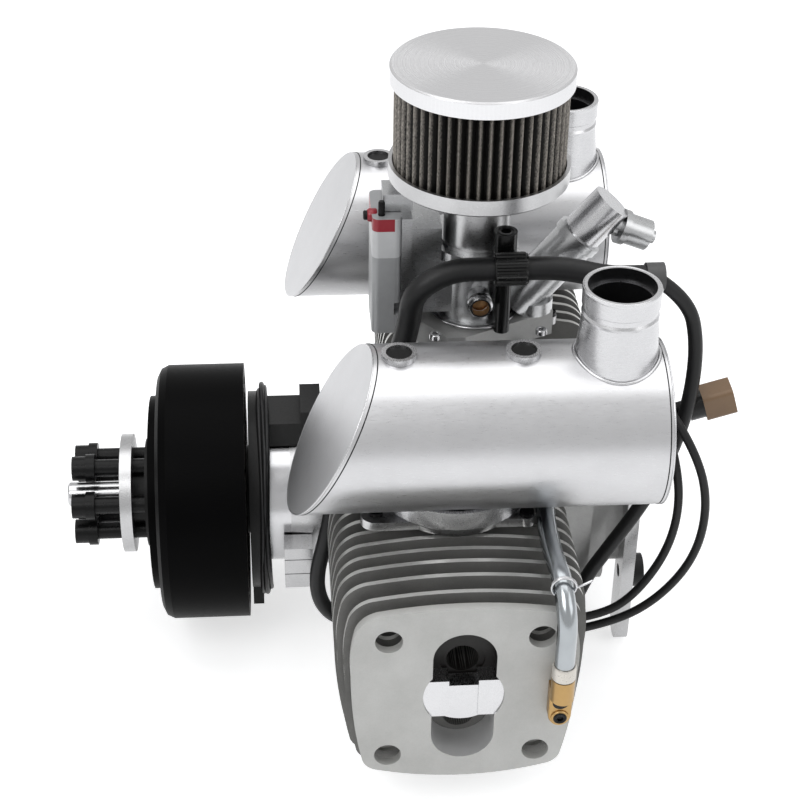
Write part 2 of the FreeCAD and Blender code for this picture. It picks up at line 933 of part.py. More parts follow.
def lying_stadium(low, high, half_width, y):
    """A slot outline along x from low to high, with half round ends."""
    return [
        (low + half_width, y - half_width),
        (high - half_width, y - half_width, ("cx", high - half_width)),
        (high - half_width, y + half_width),
        (low + half_width, y + half_width, ("cx", low + half_width)),
    ]


def mount_points():
    return corners(S.isolator_spacing_y / 2, S.isolator_spacing_z / 2)


def mount_plate():
    x = -(S.isolator_length + S.plate_thickness)
    leg_y = S.isolator_spacing_y / 2
    solids = []
    for side in SIDES.values():
        outline = lying_stadium(-S.leg_top, S.leg_bottom, S.leg_width / 2, side * leg_y)
        solids.append(padded(ZERO, S.plate_thickness, outline, x=x, turn=ALONG_X))
    web = rectangle(S.plate_web_half, leg_y)
    solids.append(padded(ZERO, S.plate_thickness, web, x=x, turn=ALONG_X))
    holes = [
        cylinder(S.mount_hole_radius, S.plate_thickness + 2, x - 1, y, z, ALONG_X)
        for y, z in mount_points()
    ]
    keep(cut(fuse(*solids), *holes), "mount_plate")


def mount_isolators():
    rings = [
        ring(S.mount_hole_radius, S.isolator_radius, -S.isolator_length, ZERO, ZERO, y, z, ALONG_X)
        for y, z in mount_points()
    ]
    keep(group(*rings), "mount_isolators")


def main_bearings():
    solids = []
    half = S.chamber_half_length + S.face_gap * 10
    race = S.bearing_race
    for side in (-1, 1):
        start = CASE_X + side * half + (side - 1) / 2 * S.bearing_length
        solids.append(
            ring(S.bearing_radius - race, S.bearing_radius, ZERO, S.bearing_length, start, turn=ALONG_X)
        )
        solids.append(ring(BEARING_INNER, BEARING_INNER + race, ZERO, S.bearing_length, start, turn=ALONG_X))
        pitch = (BEARING_INNER + S.bearing_radius) / 2
        middle = start + S.bearing_length / 2
        count = int(S.ball_count.value)
        for i in range(count):
            angle = 360.0 * i / count
            solids.append(sphere(S.ball_radius, middle, pitch * cosine(angle), pitch * sine(angle)))
    keep(group(*solids), "main_bearings")


# ---- cylinders ----


def fin_outline(growth):
    """The rounded square of the head face, scaled out by growth at its waist."""
    scale = 1 + growth / S.waist_half
    tall = 1 + growth * S.crest_share / S.waist_half
    right = [
        (S.base_half, -S.base_edge, S.foot_arc),
        (S.foot_half, -S.foot_edge, S.lower_side_arc),
        (S.waist_half, S.waist_edge, S.upper_side_arc),
        (S.shoulder_half, S.shoulder_edge, S.corner_arc),
        (S.top_half, S.top_edge, S.crown_arc),
    ]
    arcs_back = [S.corner_arc, S.upper_side_arc, S.lower_side_arc, S.foot_arc, S.base_arc]
    left = [(-x, y, arc) for (x, y, _), arc in zip(reversed(right), arcs_back)]
    return [(x * scale, y * tall, arc * scale) for x, y, arc in right + left]


def finned_body():
    body = new_body("cylinder_body")
    start = S.head_face - S.face_thickness
    add_turned(
        body,
        [
            (ZERO, S.spigot_start),
            (S.spigot_radius, S.spigot_start),
            (S.spigot_radius, S.cylinder_seat),
            (S.core_radius, S.cylinder_seat),
            (S.core_radius, start),
            (ZERO, start),
        ],
    )
    flange = rounded_rectangle(S.case_pad_half, S.case_pad_half, S.foot_arc)
    add_pad(body, S.cylinder_seat, S.base_flange_thickness, flange)
    boss = stadium(S.well_radius + S.well_wall, S.well_spacing)
    add_pad(body, S.chamber_roof, S.head_face - S.chamber_roof, boss)
    seat_boss = [(ZERO, ZERO, S.insert_radius + S.well_wall)]
    add_pad(body, S.chamber_roof, S.head_face - S.chamber_roof, circles=seat_boss)
    add_pad(body, start, S.face_thickness, fin_outline(ZERO))
    for place, growth in ((1, S.fin_growth_first), (2, S.fin_growth_second)):
        front = S.head_face - S.fin_pitch * place
        add_pad(body, front - S.fin_thickness, S.fin_thickness, fin_outline(growth))
    last = S.head_face - S.fin_pitch * (S.plain_fins + 2) - S.fin_thickness
    fin = add_pad(body, last, S.fin_thickness, fin_outline(S.fin_growth_rest))
    pattern = body.newObject("PartDesign::LinearPattern", fresh("fins"))
    pattern.Originals = [fin]
    pattern.Direction = (origin_plane(body, "Z_Axis"), [""])
    bind(pattern, Length=S.fin_pitch * (S.plain_fins - 1), Occurrences=S.plain_fins)
    body.Tip = pattern
    return body


def cylinder_hollows():
    """What is cut from the casting: bore, chamber, ports, wells and access holes."""
    top = PISTON_TOP
    seat = S.cylinder_seat
    half = S.stud_spacing / 2
    flange_top = seat + S.base_flange_thickness
    reach = S.head_face - flange_top + 1
    tools = [
        cylinder(S.bore_radius, top - S.spigot_start + 1, z=S.spigot_start - 1),
        cylinder(S.dome_radius, S.chamber_roof - top + 1, z=top - 1),
        cylinder(S.port_radius, DUCT_TOP + 1, z=S.port_distance, y=ZERO, turn=ALONG_Y),
    ]
    for u, v in corners(half, half):
        tools.append(cylinder(S.access_radius, reach, u, v, flange_top))
        tools.append(cylinder(S.stud_radius + S.seat_gap, reach, u, v, seat - 1))
    well = padded(UPPER_FLOOR, S.upper_well_depth + 1, stadium(S.well_radius, S.well_spacing))
    tools.append(well)
    tools.append(cylinder(S.well_radius, S.lower_well_depth + 1, y=-S.well_spacing, z=LOWER_FLOOR))
    recess = S.insert_radius + S.seat_gap
    tools.append(cylinder(recess, S.upper_well_depth + 1, z=UPPER_FLOOR))
    bore = S.plug_bore_radius
    roof = S.chamber_roof
    tools.append(cylinder(bore, UPPER_FLOOR - roof + 2, y=S.upper_plug_height, z=roof - 1))
    tools.append(cylinder(bore, LOWER_FLOOR - roof + 2, y=-S.lower_plug_height, z=roof - 1))
    relief = UPPER_FLOOR - S.plug_relief_depth
    tools.append(cylinder(S.plug_relief_radius, S.plug_relief_depth + 1, y=S.upper_plug_height, z=relief))
    return tools


def engine_cylinder(word, side):
    duct = cylinder(S.duct_radius, DUCT_TOP, z=S.port_distance, turn=ALONG_Y)
    reach = S.ear_front_side + S.ear_radius + S.face_gap
    room = block(S.ear_front * 2 + S.ear_radius * 2, S.head_face, reach * 2, -S.ear_front - S.ear_radius, DUCT_TOP, S.port_distance - reach)
    casting = cut(fuse(finned_body(), duct), room, *cylinder_hollows())
    keep(put(casting, cylinder_x(side), turn=OUTWARDS[side]), f"{word}_cylinder")


def head_inserts():
    """Turned discs seated between the plug wells, each with a raised, grooved bar."""
    solids = []
    seat = UPPER_FLOOR
    reach = S.insert_radius
    tall = S.upper_well_depth - S.insert_bar_inset
    bar_height = S.insert_bar_top + S.insert_bar_bottom
    half = S.insert_slot_half
    for side in SIDES.values():
        disc = cylinder(reach, S.insert_thickness, z=seat)
        above = block(reach * 2 + 2, reach, S.insert_thickness + 2, -reach - 1, S.insert_flat, seat - 1)
        bar = common(
            block(reach * 2, bar_height, tall, -reach, -S.insert_bar_bottom, seat),
            cylinder(reach, tall, z=seat),
        )
        groove_start = seat + tall - S.insert_slot_depth
        groove = middle_block(half * 2, bar_height * 2, S.insert_slot_depth + 1, z=groove_start)
        notch = block(half * 2, reach, tall + 2, -half, S.insert_notch, seat - 1)
        shape = cut(fuse(cut(disc, above), bar), groove, notch)
        solids.append(put(shape, cylinder_x(side), turn=OUTWARDS[side]))
    keep(group(*solids), "head_inserts")


def cylinder_bolts():
    """Long bolts through the base flanges, eight in all, reached through the fins."""
    solids = []
    half = S.stud_spacing / 2
    flange_top = S.cylinder_seat + S.base_flange_thickness
    for side in SIDES.values():
        for u, v in corners(half, half):
            shank_start = S.cylinder_seat - S.stud_depth + 1
            profile = [
                (ZERO, shank_start),
                (S.stud_radius, shank_start),
                (S.stud_radius, flange_top),
                (S.stud_head_radius, flange_top),
                (S.stud_head_radius, flange_top + S.stud_head_height),
                (ZERO, flange_top + S.stud_head_height),
            ]
            solids.append(put_out(turned(profile), side, u, v))
    keep(group(*solids), "cylinder_bolts")


# ---- crank train ----


def crankshaft():
    nose = S.nose_shaft_radius
    front_web = FRONT_WEB_REAR - S.web_thickness
    front = fuse(
        cylinder(nose, RING_FRONT - HUB_FRONT, HUB_FRONT, turn=ALONG_X),
        cylinder(S.journal_radius, CASE_X + front_web - RING_FRONT, RING_FRONT, turn=ALONG_X),
        cylinder(S.web_radius, S.web_thickness, CASE_X + front_web, turn=ALONG_X),
    )
    centre = cylinder(S.web_radius, CENTRE_WEB_HALF * 2, CASE_X - CENTRE_WEB_HALF, turn=ALONG_X)
    rear_end = CASE_LENGTH / 2 - 1
    rear = fuse(
        cylinder(S.web_radius, S.web_thickness, CASE_X + REAR_WEB_FRONT, turn=ALONG_X),
        cylinder(S.journal_radius, rear_end - REAR_WEB_FRONT, CASE_X + REAR_WEB_FRONT, turn=ALONG_X),
    )
    keep(group(front, centre, rear), "crankshaft")


def piston(word, side):
    outer = S.bore_radius - S.piston_clearance
    inner = outer - S.piston_wall
    foot = PISTON_TOP - S.piston_length
    hollow_top = PISTON_TOP - S.piston_crown
    grooves = [S.piston_top_land, S.piston_top_land + S.ring_height * 3]
    tools = [
        cylinder(inner, S.piston_length - S.piston_crown + 1, z=foot - 1),
    ]
    for depth in grooves:
        slot_foot = PISTON_TOP - depth - S.ring_height - S.seat_gap
        slot = ring(outer - S.ring_depth - S.face_gap, outer + 1, ZERO, S.ring_height + S.seat_gap * 2, z=slot_foot)
        tools.append(slot)
    crown = cut(cylinder(outer, S.piston_length, z=foot), *tools)
    boss_reach = S.wrist_pin_length
    boss = common(
        cylinder(S.wrist_pin_radius + S.piston_wall, boss_reach, -boss_reach / 2, z=WRIST, turn=ALONG_X),
        cylinder(inner + 1, S.piston_length, z=foot),
    )
    slot_half = S.rod_width / 2 + S.face_gap
    gap = middle_block(slot_half * 2, boss_reach, hollow_top - foot, z=foot)
    pin_hole = cylinder(
        S.wrist_pin_radius + S.seat_gap, S.bore_radius * 2 + 2, -S.bore_radius - 1, z=WRIST, turn=ALONG_X
    )
    shell = cut(fuse(crown, cut(boss, gap)), pin_hole)
    solids = [shell]
    for depth in grooves:
        level = PISTON_TOP - depth - S.ring_height
        ring_outer = S.bore_radius - S.seat_gap
        solids.append(ring(outer - S.ring_depth, ring_outer, ZERO, S.ring_height, z=level))
    half = S.wrist_pin_length / 2
    solids.append(ring(S.wrist_pin_radius / 2, S.wrist_pin_radius, -half, half, z=WRIST, turn=ALONG_X))
    placed = [put_again(s, side) for s in solids]
    keep(group(*placed), f"{word}_piston")


def put_again(obj, side):
    """Wraps a finished shape so that it can be turned onto its cylinder's axis."""
    return put(group(obj), cylinder_x(side), turn=OUTWARDS[side])


def connecting_rod(word, side):
    half = S.rod_width / 2
    small = ring(ZERO + S.wrist_pin_radius + S.shaft_gap, S.small_end_radius, -half, half, z=WRIST, turn=ALONG_X)
    bore = S.crankpin_radius + S.shaft_gap
    big = ring(bore, S.big_end_radius, -half, half, z=S.crank_throw, turn=ALONG_X)
    start = S.crank_throw + bore + 1
    end = WRIST - S.wrist_pin_radius - 1
    shank = middle_block(S.shank_thickness, S.shank_width, end - start, z=start)
    reach = S.rod_width + 2
    eyes = [
        cylinder(bore, reach, -reach / 2, z=S.crank_throw, turn=ALONG_X),
        cylinder(S.wrist_pin_radius + S.shaft_gap, reach, -reach / 2, z=WRIST, turn=ALONG_X),
    ]
    rod = cut(fuse(small, big, shank), *eyes)
    pin_half = half + S.face_gap / 4
    crankpin = cylinder(S.crankpin_radius, pin_half * 2, -pin_half, z=S.crank_throw, turn=ALONG_X)
    keep(group(put_again(rod, side), put_again(crankpin, side)), f"{word}_rod")


# ---- exhaust ----


def exhaust_ears():
    """Ear centres from the port's axis: wide apart at the front, close in at the rear."""
    front = [(-S.ear_front, y, S.ear_radius) for y in (-S.ear_front_side, S.ear_front_side)]
    rear = [(S.ear_rear, y, S.ear_rear_radius) for y in (-S.ear_rear_side, S.ear_rear_side)]
    return front + rear


def exhaust_flanges():
    solids = []
    thick = S.flange_thickness
    for side in SIDES.values():
        ears = exhaust_ears()
        plate = [cylinder(S.flange_radius, thick)]
        plate += [cylinder(radius, thick, x, y) for x, y, radius in ears]
        half = S.ear_front_side + S.ear_radius
        plate.append(block(S.ear_front + S.ear_rear, half * 2, thick, -S.ear_front, -half))
        holes = [cylinder(S.port_radius, thick + 2, z=size(-1.0))]
        holes += [cylinder(S.ear_bolt_radius + S.seat_gap, thick + 2, x, y, size(-1.0)) for x, y, _ in ears]
        solids.append(put(cut(fuse(*plate), *holes), cylinder_x(side), side * S.port_distance, DUCT_TOP))
    keep(group(*solids), "exhaust_flanges")


def muffler_solid(side, radius, start, length):
    """A plain cylinder on one muffler's axis."""
    return cylinder(
        radius, length, CASE_X + muffler_shift(side) + start, side * S.muffler_distance, S.muffler_height, ALONG_X
    )


def exhaust_saddles():
    solids = []
    base = DUCT_TOP + S.flange_thickness
    for side in SIDES.values():
        profile = [
            (S.port_radius, ZERO),
            (S.saddle_radius - S.saddle_wall, ZERO),
            (S.saddle_radius, S.saddle_wall),
            (S.saddle_radius, S.saddle_height),
            (S.saddle_radius - S.saddle_wall, S.saddle_height),
            (S.saddle_radius - S.saddle_wall, S.saddle_wall + 1),
            (S.port_radius + S.saddle_wall, S.saddle_wall + 1),
            (S.port_radius + S.saddle_wall, S.saddle_height),
            (S.port_radius, S.saddle_height),
        ]
        dish = turned(profile, cylinder_x(side), side * S.port_distance, base)
        room = muffler_solid(side, S.muffler_radius + S.seat_gap, -S.muffler_front * 2, S.muffler_front * 4)
        solids.append(cut(dish, room))
    keep(group(*solids), "exhaust_saddles")


def raked_outline(front_shift, rear):
    """Side view of the muffler: square at the rear, raked back at the front."""
    radius = S.muffler_radius + 1
    slope = tangent(S.muffler_rake)
    front = front_shift - S.muffler_front
    return [
        (front - slope * radius, -radius),
        (rear, -radius),
        (rear, radius),
        (front + slope * radius, radius),
    ]


def raked_slab(side, front_shift, rear):
    """A wide slab with the raked side view, on one muffler's axis."""
    body = new_body("raked_body")
    drawing = new_sketch(body, "XZ_Plane")
    draw_outline(drawing, raked_outline(front_shift, rear))
    feature = body.newObject("PartDesign::Pad", fresh("pad"))
    feature.Profile = drawing
    feature.Midplane = True
    bind(feature, Length=S.muffler_radius * 2 + 2)
    return put(body, CASE_X + muffler_shift(side), side * S.muffler_distance, S.muffler_height)


def muffler_shell(word, side):
    inner = S.muffler_radius - S.muffler_wall
    start = -S.muffler_front * 2
    length = S.muffler_front * 4
    tube = cut(
        muffler_solid(side, S.muffler_radius, start, length),
        muffler_solid(side, inner, start - 1, length + 2),
    )
    rear = S.muffler_rear - S.muffler_cap
    front_shift = S.muffler_cap / cosine(S.muffler_rake)
    sleeve = common(tube, raked_slab(side, front_shift, rear))
    y = side * S.muffler_distance
    middle = CASE_X + muffler_shift(side)
    height = S.muffler_radius + 1
    hole = S.stack_foot_radius - S.stack_wall
    tools = [cylinder(hole, height, middle + S.stack_place, y, S.muffler_height)]
    for place in (-S.front_plug_place, S.rear_plug_place):
        tools.append(cylinder(S.plug_cap_radius + S.seat_gap, height, middle + place, y, S.muffler_height))
    tools.append(
        cylinder(S.port_radius, height, cylinder_x(side), side * S.port_distance, S.muffler_height - height)
    )
    keep(cut(sleeve, *tools), f"{word}_muffler_shell")


def muffler_caps():
    solids = []
    for side in SIDES.values():
        start = -S.muffler_front * 2
        rod = muffler_solid(side, S.muffler_radius, start, S.muffler_front * 4)
        front_shift = S.muffler_cap / cosine(S.muffler_rake)
        solid_front = common(rod, raked_slab(side, ZERO, ZERO))
        solids.append(cut(solid_front, raked_slab(side, front_shift, S.muffler_radius)))
        solids.append(muffler_solid(side, S.muffler_radius, S.muffler_rear - S.muffler_cap, S.muffler_cap))
    keep(group(*solids), "muffler_caps")


def outlet_stacks():
    """Raised outlets with a bead and a collar, each with its inner liner."""
    solids = []
    collar_foot = S.stack_top - S.collar_height
    inner_neck = S.stack_neck_radius - S.stack_wall
    foot = S.muffler_height + S.muffler_radius * 0.8
    bead = collar_foot - S.collar_height / 2
    for side in SIDES.values():
        profile = [
            (S.stack_foot_radius - S.stack_wall, foot),
            (S.stack_foot_radius, foot),
            (S.stack_neck_radius + S.bead_height / 2, bead - S.bead_height * 2),
            (S.stack_neck_radius + S.bead_height, bead),
            (S.stack_neck_radius, bead + S.bead_height * 2),
            (S.stack_neck_radius, collar_foot - S.bead_height),
            (S.collar_radius, collar_foot),
            (S.collar_radius, S.stack_top),
            (inner_neck, S.stack_top),
            (inner_neck, collar_foot),
        ]
        x = CASE_X + muffler_shift(side) + S.stack_place
        y = side * S.muffler_distance
        room = muffler_solid(side, S.muffler_radius + S.seat_gap, ZERO, S.muffler_rear)
        solids.append(cut(turned(profile, x, y), room))
        liner_top = S.stack_top - S.liner_drop
        liner_outer = inner_neck - S.seat_gap
        solids.append(ring(S.liner_radius, liner_outer, liner_top - S.liner_length, liner_top, x, y))
    keep(group(*solids), "outlet_stacks")


def muffler_plugs():
    """Screwed plugs in bright rings, two on top of each muffler."""
    solids = []
    crest = S.muffler_height + S.muffler_radius
    for side in SIDES.values():
        room = muffler_solid(side, S.muffler_radius + S.seat_gap, -S.muffler_front * 2, S.muffler_front * 4)
        rings = []
        for place in (-S.front_plug_place, S.rear_plug_place):
            x = CASE_X + muffler_shift(side) + place
            y = side * S.muffler_distance
            inner = S.plug_cap_radius + S.seat_gap
            top = crest + S.plug_ring_height
            rings.append(ring(inner, S.plug_ring_radius, crest - S.plug_ring_height, top, x, y))
            solids.append(cylinder(S.plug_cap_radius, S.plug_cap_depth, x, y, top - 1 - S.plug_cap_depth))
        solids.append(cut(group(*rings), room))
    keep(group(*solids), "muffler_plugs")


# ---- intake, throttle body and filter ----


def intake_manifold():
    length, width = S.manifold_half_length * 2, S.manifold_half_width * 2
    tall = S.throttle_base_bottom - S.case_top
    wall = S.manifold_wall
    shell = middle_block(length, width, tall, CASE_X, z=S.case_top)
    room = middle_block(length - wall * 2, width - wall * 2, tall + 2, CASE_X, z=S.case_top - 1)
    foot = middle_block(length + wall * 2, width + wall * 2, wall, CASE_X, z=S.case_top)
    keep(cut(fuse(shell, foot), room), "intake_manifold")


def reed_valve():
    """A wedge cage with a petal on each slope, hung inside the manifold."""
    wall = S.manifold_wall
    half = S.manifold_half_length - wall - S.face_gap
    side = S.manifold_half_width - wall - S.face_gap
    top = S.throttle_base_bottom - S.face_gap
    foot = S.case_top + wall / 2
    wedge = padded(
        -half,
        half * 2,
        [(top - foot, ZERO), (ZERO, side), (ZERO, -side)],
        x=CASE_X,
        z=top,
        turn=DOWN_WEDGE,
    )
    inner = wall / 2
    hole = middle_block(half, side, (top - foot) / 3, CASE_X, z=top - (top - foot) / 3 + 1)
    window = middle_block(half, side * 2 + inner, inner * 2, CASE_X, z=(top + foot) / 2)
    keep(cut(wedge, hole, window), "reed_valve")


def throttle_base():
    """A lozenge plate whose long tip points to the rear."""
    tip, side = S.base_tip_half, S.base_side_tip
    lean = S.base_lean
    outline = [
        (S.base_rear_tip, -tip),
        (S.base_rear_tip, tip),
        (lean + tip, side),
        (lean - tip, side),
        (-S.base_front_tip, tip),
        (-S.base_front_tip, -tip),
        (-lean - tip, -side),
        (tip - lean, -side),
    ]
    tall = S.throttle_base_top - S.throttle_base_bottom
    plate = padded(S.throttle_base_bottom, tall, outline, x=CASE_X)
    bore = cylinder(S.throttle_bore, tall + 2, CASE_X, z=S.throttle_base_bottom - 1)
    keep(cut(plate, bore), "throttle_base")


def oval_flange(start, thickness):
    """The throttle body's top flange, drawn out towards the hose post."""
    reach = root(S.post_x * S.post_x + S.post_y * S.post_y) + S.lug_tip_half
    half, tip = S.flange_rim, S.lug_tip_half
    shoulder = half / 3
    level = root(half * half - shoulder * shoulder)
    outline = [
        (reach, -tip),
        (reach, tip),
        (shoulder, level, half),
        (-shoulder, level),
        (-reach, tip),
        (-reach, -tip),
        (-shoulder, -level, half),
        (shoulder, -level),
    ]
    return padded(start, thickness, outline, x=CASE_X, turn=TO_POST)


def riser_axis(radius, length, back=ZERO):
    """A cylinder that leans to the rear on the fuel can's axis, started back along it."""
    x = CASE_X + S.can_foot_x - sine(S.can_tilt) * back
    z = S.can_foot_z - cosine(S.can_tilt) * back
    return lean(cylinder(radius, length), x, ZERO, z, S.can_tilt)


def lean(obj, x, y, z, angle):
    """Places an upright object and leans it over to the rear by an angle of the sheet."""
    put(obj, x, y, z, FreeCAD.Rotation(V(0, 1, 0), size(angle).value))
    obj.setExpression("Placement.Rotation.Angle", size(angle).text)
    return obj


def throttle_body():
    foot, top = S.throttle_base_top, S.flange_top
    middle = S.throttle_axis_height
    tall = top - foot
    thick = S.flange_top - S.flange_bottom
    front = CASE_X - S.servo_rear
    plate = S.servo_flange_thickness
    arm_length = S.servo_rear - plate - S.throttle_outer
    arm_height = S.arm_top - S.arm_bottom
    arm_half = S.arm_half_width
    sensor_y = S.port_sensor_face - S.port_sensor_proud
    solids = [
        cylinder(S.throttle_outer, tall, CASE_X, z=foot),
        cylinder(S.throttle_foot, S.throttle_foot_height, CASE_X, z=foot),
        oval_flange(S.flange_bottom, thick),
        block(plate, S.servo_half_width * 2, S.servo_top - S.servo_bottom, front, -S.servo_half_width, S.servo_bottom),
        block(arm_length, arm_half * 2, arm_height, front + plate, -arm_half, S.arm_bottom),
        block(S.throttle_outer, arm_half * 2, S.flange_bottom - S.arm_bottom, CASE_X - S.throttle_outer - 1, -arm_half, S.arm_bottom),
        block(
            S.bracket_length, S.servo_half_width, S.bracket_height,
            CASE_X - S.bracket_front, -S.servo_half_width / 2, S.servo_top + S.face_gap,
        ),
        block(plate, S.servo_half_width, S.bracket_height / 2 + S.face_gap, front, -S.servo_half_width / 2, S.servo_top),
        cylinder(S.port_sensor_radius, sensor_y, CASE_X, -sensor_y, S.port_sensor_height, ALONG_Y),
        cut(riser_axis(S.riser_radius, S.can_foot_z - foot, S.can_foot_z - foot), below_plate()),
        cylinder(S.riser_radius, S.riser_step, CASE_X + S.riser_x, z=foot),
    ]
    tools = [
        cylinder(S.throttle_bore, tall + 2, CASE_X, z=foot - 1),
        cylinder(S.spindle_radius + S.shaft_gap, S.servo_rear + S.throttle_outer - S.seat_gap, front - 1, z=middle, turn=ALONG_X),
        cylinder(S.post_radius + S.seat_gap, tall + 2, CASE_X + S.post_x, -S.post_y, foot - 1),
        hose_room(),
        riser_axis(S.can_tube_radius + S.seat_gap, S.can_tube_length),
        block(
            arm_length - plate, arm_half, S.arm_top - S.arm_bottom - S.arm_step,
            front + plate * 1.5, -arm_half * 2 + S.arm_recess, S.arm_bottom - 1,
        ),
    ]
    keep(cut(fuse(*solids), *tools), "throttle_body")


def below_plate():
    """Trims whatever would reach down into the throttle base."""
    half = S.base_rear_tip
    return middle_block(half * 2, half, half, CASE_X + S.can_foot_x, z=S.throttle_base_top - half)


def hose_room():
    """Clearance for the hose clamp beside the flange."""
    length = S.clamp_length * 3
    radius = S.clamp_radius + S.face_gap
    return cylinder(radius, length, CASE_X + S.post_x - length / 2, -S.clamp_y, S.clamp_z, ALONG_X)


def throttle_shaft():
    front = CASE_X - S.servo_rear + S.face_gap
    length = S.servo_rear + S.throttle_outer - 1 - S.face_gap * 2
    shaft = cylinder(S.spindle_radius, length, front, z=S.throttle_axis_height, turn=ALONG_X)
    half = S.throttle_bore - S.plate_clearance + S.seat_gap
    thick = S.butterfly_thickness + S.seat_gap * 2
    slot = middle_block(half * 2, half, thick, CASE_X, z=S.throttle_axis_height - thick / 2)
    keep(cut(shaft, slot), "throttle_shaft")


def throttle_plate():
    radius = S.throttle_bore - S.plate_clearance
    thick = S.butterfly_thickness
    keep(cylinder(radius, thick, CASE_X, z=S.throttle_axis_height - thick / 2), "throttle_plate")


def filter_base():
    """The intake neck with its collar, and the rim that carries the filter."""
    foot, rim = S.flange_top, S.filter_bottom
    inner = S.neck_radius - S.neck_wall
    top = rim + S.filter_rim_height
    cup = rim + S.neck_wall
    wall = S.filter_radius - S.neck_wall
    step = S.neck_radius + S.neck_wall / 2
    profile = [
        (inner, foot),
        (step, foot),
        (step, foot + S.neck_wall),
        (S.neck_radius, foot + S.neck_wall),
        (S.neck_radius, rim - S.neck_collar_height),
        (S.neck_collar_radius, rim - S.neck_collar_height),
        (S.neck_collar_radius, rim),
        (S.filter_radius - S.rim_edge, rim),
        (S.filter_radius, rim + S.rim_edge),
        (S.filter_radius, top),
        (wall, top),
        (wall, cup),
        (inner, cup),
    ]
    keep(turned(profile, CASE_X), "filter_base")


def filter_element():
    """Pleated wall drawn as one closed zigzag with a plain round bore."""
    outer = S.filter_radius - S.neck_wall - S.face_gap
    inner = outer - S.pleat_depth
    count = int(S.pleat_count.value)
    outline = []
    for i in range(count * 2):
        radius = outer if i % 2 == 0 else inner
        angle = 180.0 * i / count
        outline.append((radius * cosine(angle), radius * sine(angle)))
    foot = S.filter_bottom + S.neck_wall
    tall = S.filter_top - S.lid_height - foot
    star = padded(foot, tall, outline, x=CASE_X)
    bore = cylinder(outer - S.pleat_wall, tall + 2, CASE_X, z=foot - 1)
    keep(cut(star, bore), "filter_element")


def filter_lid():
    foot = S.filter_top - S.lid_height
    edge = S.rim_edge
    profile = [
        (ZERO, foot),
        (S.filter_radius, foot),
        (S.filter_radius, S.filter_top - edge),
        (S.filter_radius - edge, S.filter_top),
        (ZERO, S.filter_top),
    ]
    keep(turned(profile, CASE_X), "filter_lid")


# ---- actuator ----


def servo_block(foot, top, inset=ZERO):
    """A slice of the actuator body between two heights, with rounded edges."""
    half = (S.servo_front - S.servo_rear) / 2
    outline = rounded_rectangle(half - inset, S.servo_half_width - inset, S.servo_corner)
    return padded(foot, top - foot, outline, x=CASE_X - S.servo_rear - half)


def servo():
    recess = block(
        S.servo_corner, S.servo_window, S.servo_window,
        CASE_X - S.servo_rear - S.servo_corner, -S.servo_half_width - 1, S.servo_window_height,
    )
    keep(cut(servo_block(S.servo_bottom, S.servo_seam), recess), "servo_case")
    keep(servo_block(S.servo_seam, S.servo_band_bottom), "servo_cover")
    keep(servo_block(S.servo_band_bottom, S.servo_top), "servo_trim")


# ---- fuel can and its fittings ----


def injector():
    tube = riser_axis(S.can_tube_radius, S.can_tube_length)
    collar_foot = S.can_tube_length
    collar = riser_axis(S.can_collar_radius, S.can_collar_length, -collar_foot)
    keep(fuse(tube, collar), "injector_tube")
    can_foot = collar_foot + S.can_collar_length
    keep(riser_axis(S.can_radius, S.can_length, -can_foot), "injector_can")
    middle = can_foot + S.can_length / 2
    x = CASE_X + S.can_foot_x + sine(S.can_tilt) * middle
    z = S.can_foot_z + cosine(S.can_tilt) * middle
    start = S.can_radius - 1
    profile = [
        (ZERO, start),
        (S.fitting_neck, start),
        (S.fitting_neck, start + S.fitting_gap),
        (S.fitting_washer, start + S.fitting_gap),
        (S.fitting_washer, start + S.fitting_gap + S.fitting_disc),
        (S.fitting_barrel, start + S.fitting_gap + S.fitting_disc),
        (S.fitting_barrel, start + S.fitting_length),
        (S.fitting_tip, start + S.fitting_length),
        (S.fitting_tip, start + S.fitting_length + S.fitting_gap),
        (ZERO, start + S.fitting_length + S.fitting_gap),
    ]
    fitting = lean(turned(profile), x, ZERO, z, S.can_tilt + S.fitting_turn)
    can_room = riser_axis(S.can_radius + S.seat_gap, S.can_length, -can_foot)
    keep(cut(fitting, can_room), "injector_fitting")


def port_sensor():
    face = S.port_sensor_face
    length = S.port_sensor_proud
    x, z = CASE_X, S.port_sensor_height
    core = S.port_sensor_radius - S.port_sensor_wall
    shell = ring(core + S.seat_gap, S.port_sensor_radius, ZERO, length, x, -face, z, ALONG_Y)
    inner = cylinder(core, length - S.port_sensor_wall, x, -face + S.port_sensor_wall, z, ALONG_Y)
    keep(group(shell, inner), "port_sensor")


# ---- hose post and clamp ----


def hose_post():
    foot, top = S.throttle_base_top, S.post_top
    seat = top - S.post_cap_height
    profile = [
        (ZERO, foot),
        (S.post_radius, foot),
        (S.post_radius, seat),
        (S.post_cap_radius, seat),
        (S.post_cap_radius, top),
        (S.post_socket, top),
        (S.post_socket, top - S.post_cap_height / 2),
        (ZERO, top - S.post_cap_height / 2),
    ]
    keep(turned(profile, CASE_X + S.post_x, -S.post_y), "hose_post")


def hose_clamp():
    """A ribbed sleeve round the hose, moulded round the post beside it."""
    x = CASE_X + S.post_x + S.clamp_shift - S.clamp_length / 2
    sleeve = ring(S.hose_radius + S.seat_gap, S.clamp_radius, ZERO, S.clamp_length, x, -S.clamp_y, S.clamp_z, ALONG_X)
    gap = S.seat_gap
    post_x = CASE_X + S.post_x
    shank = cylinder(S.post_radius + gap, S.post_top, post_x, -S.post_y)
    cap = cylinder(S.post_cap_radius + gap, S.post_top, post_x, -S.post_y, S.post_top - S.post_cap_height - gap)
    keep(cut(sleeve, shank, cap), "hose_clamp")


# ---- hoses and leads ----

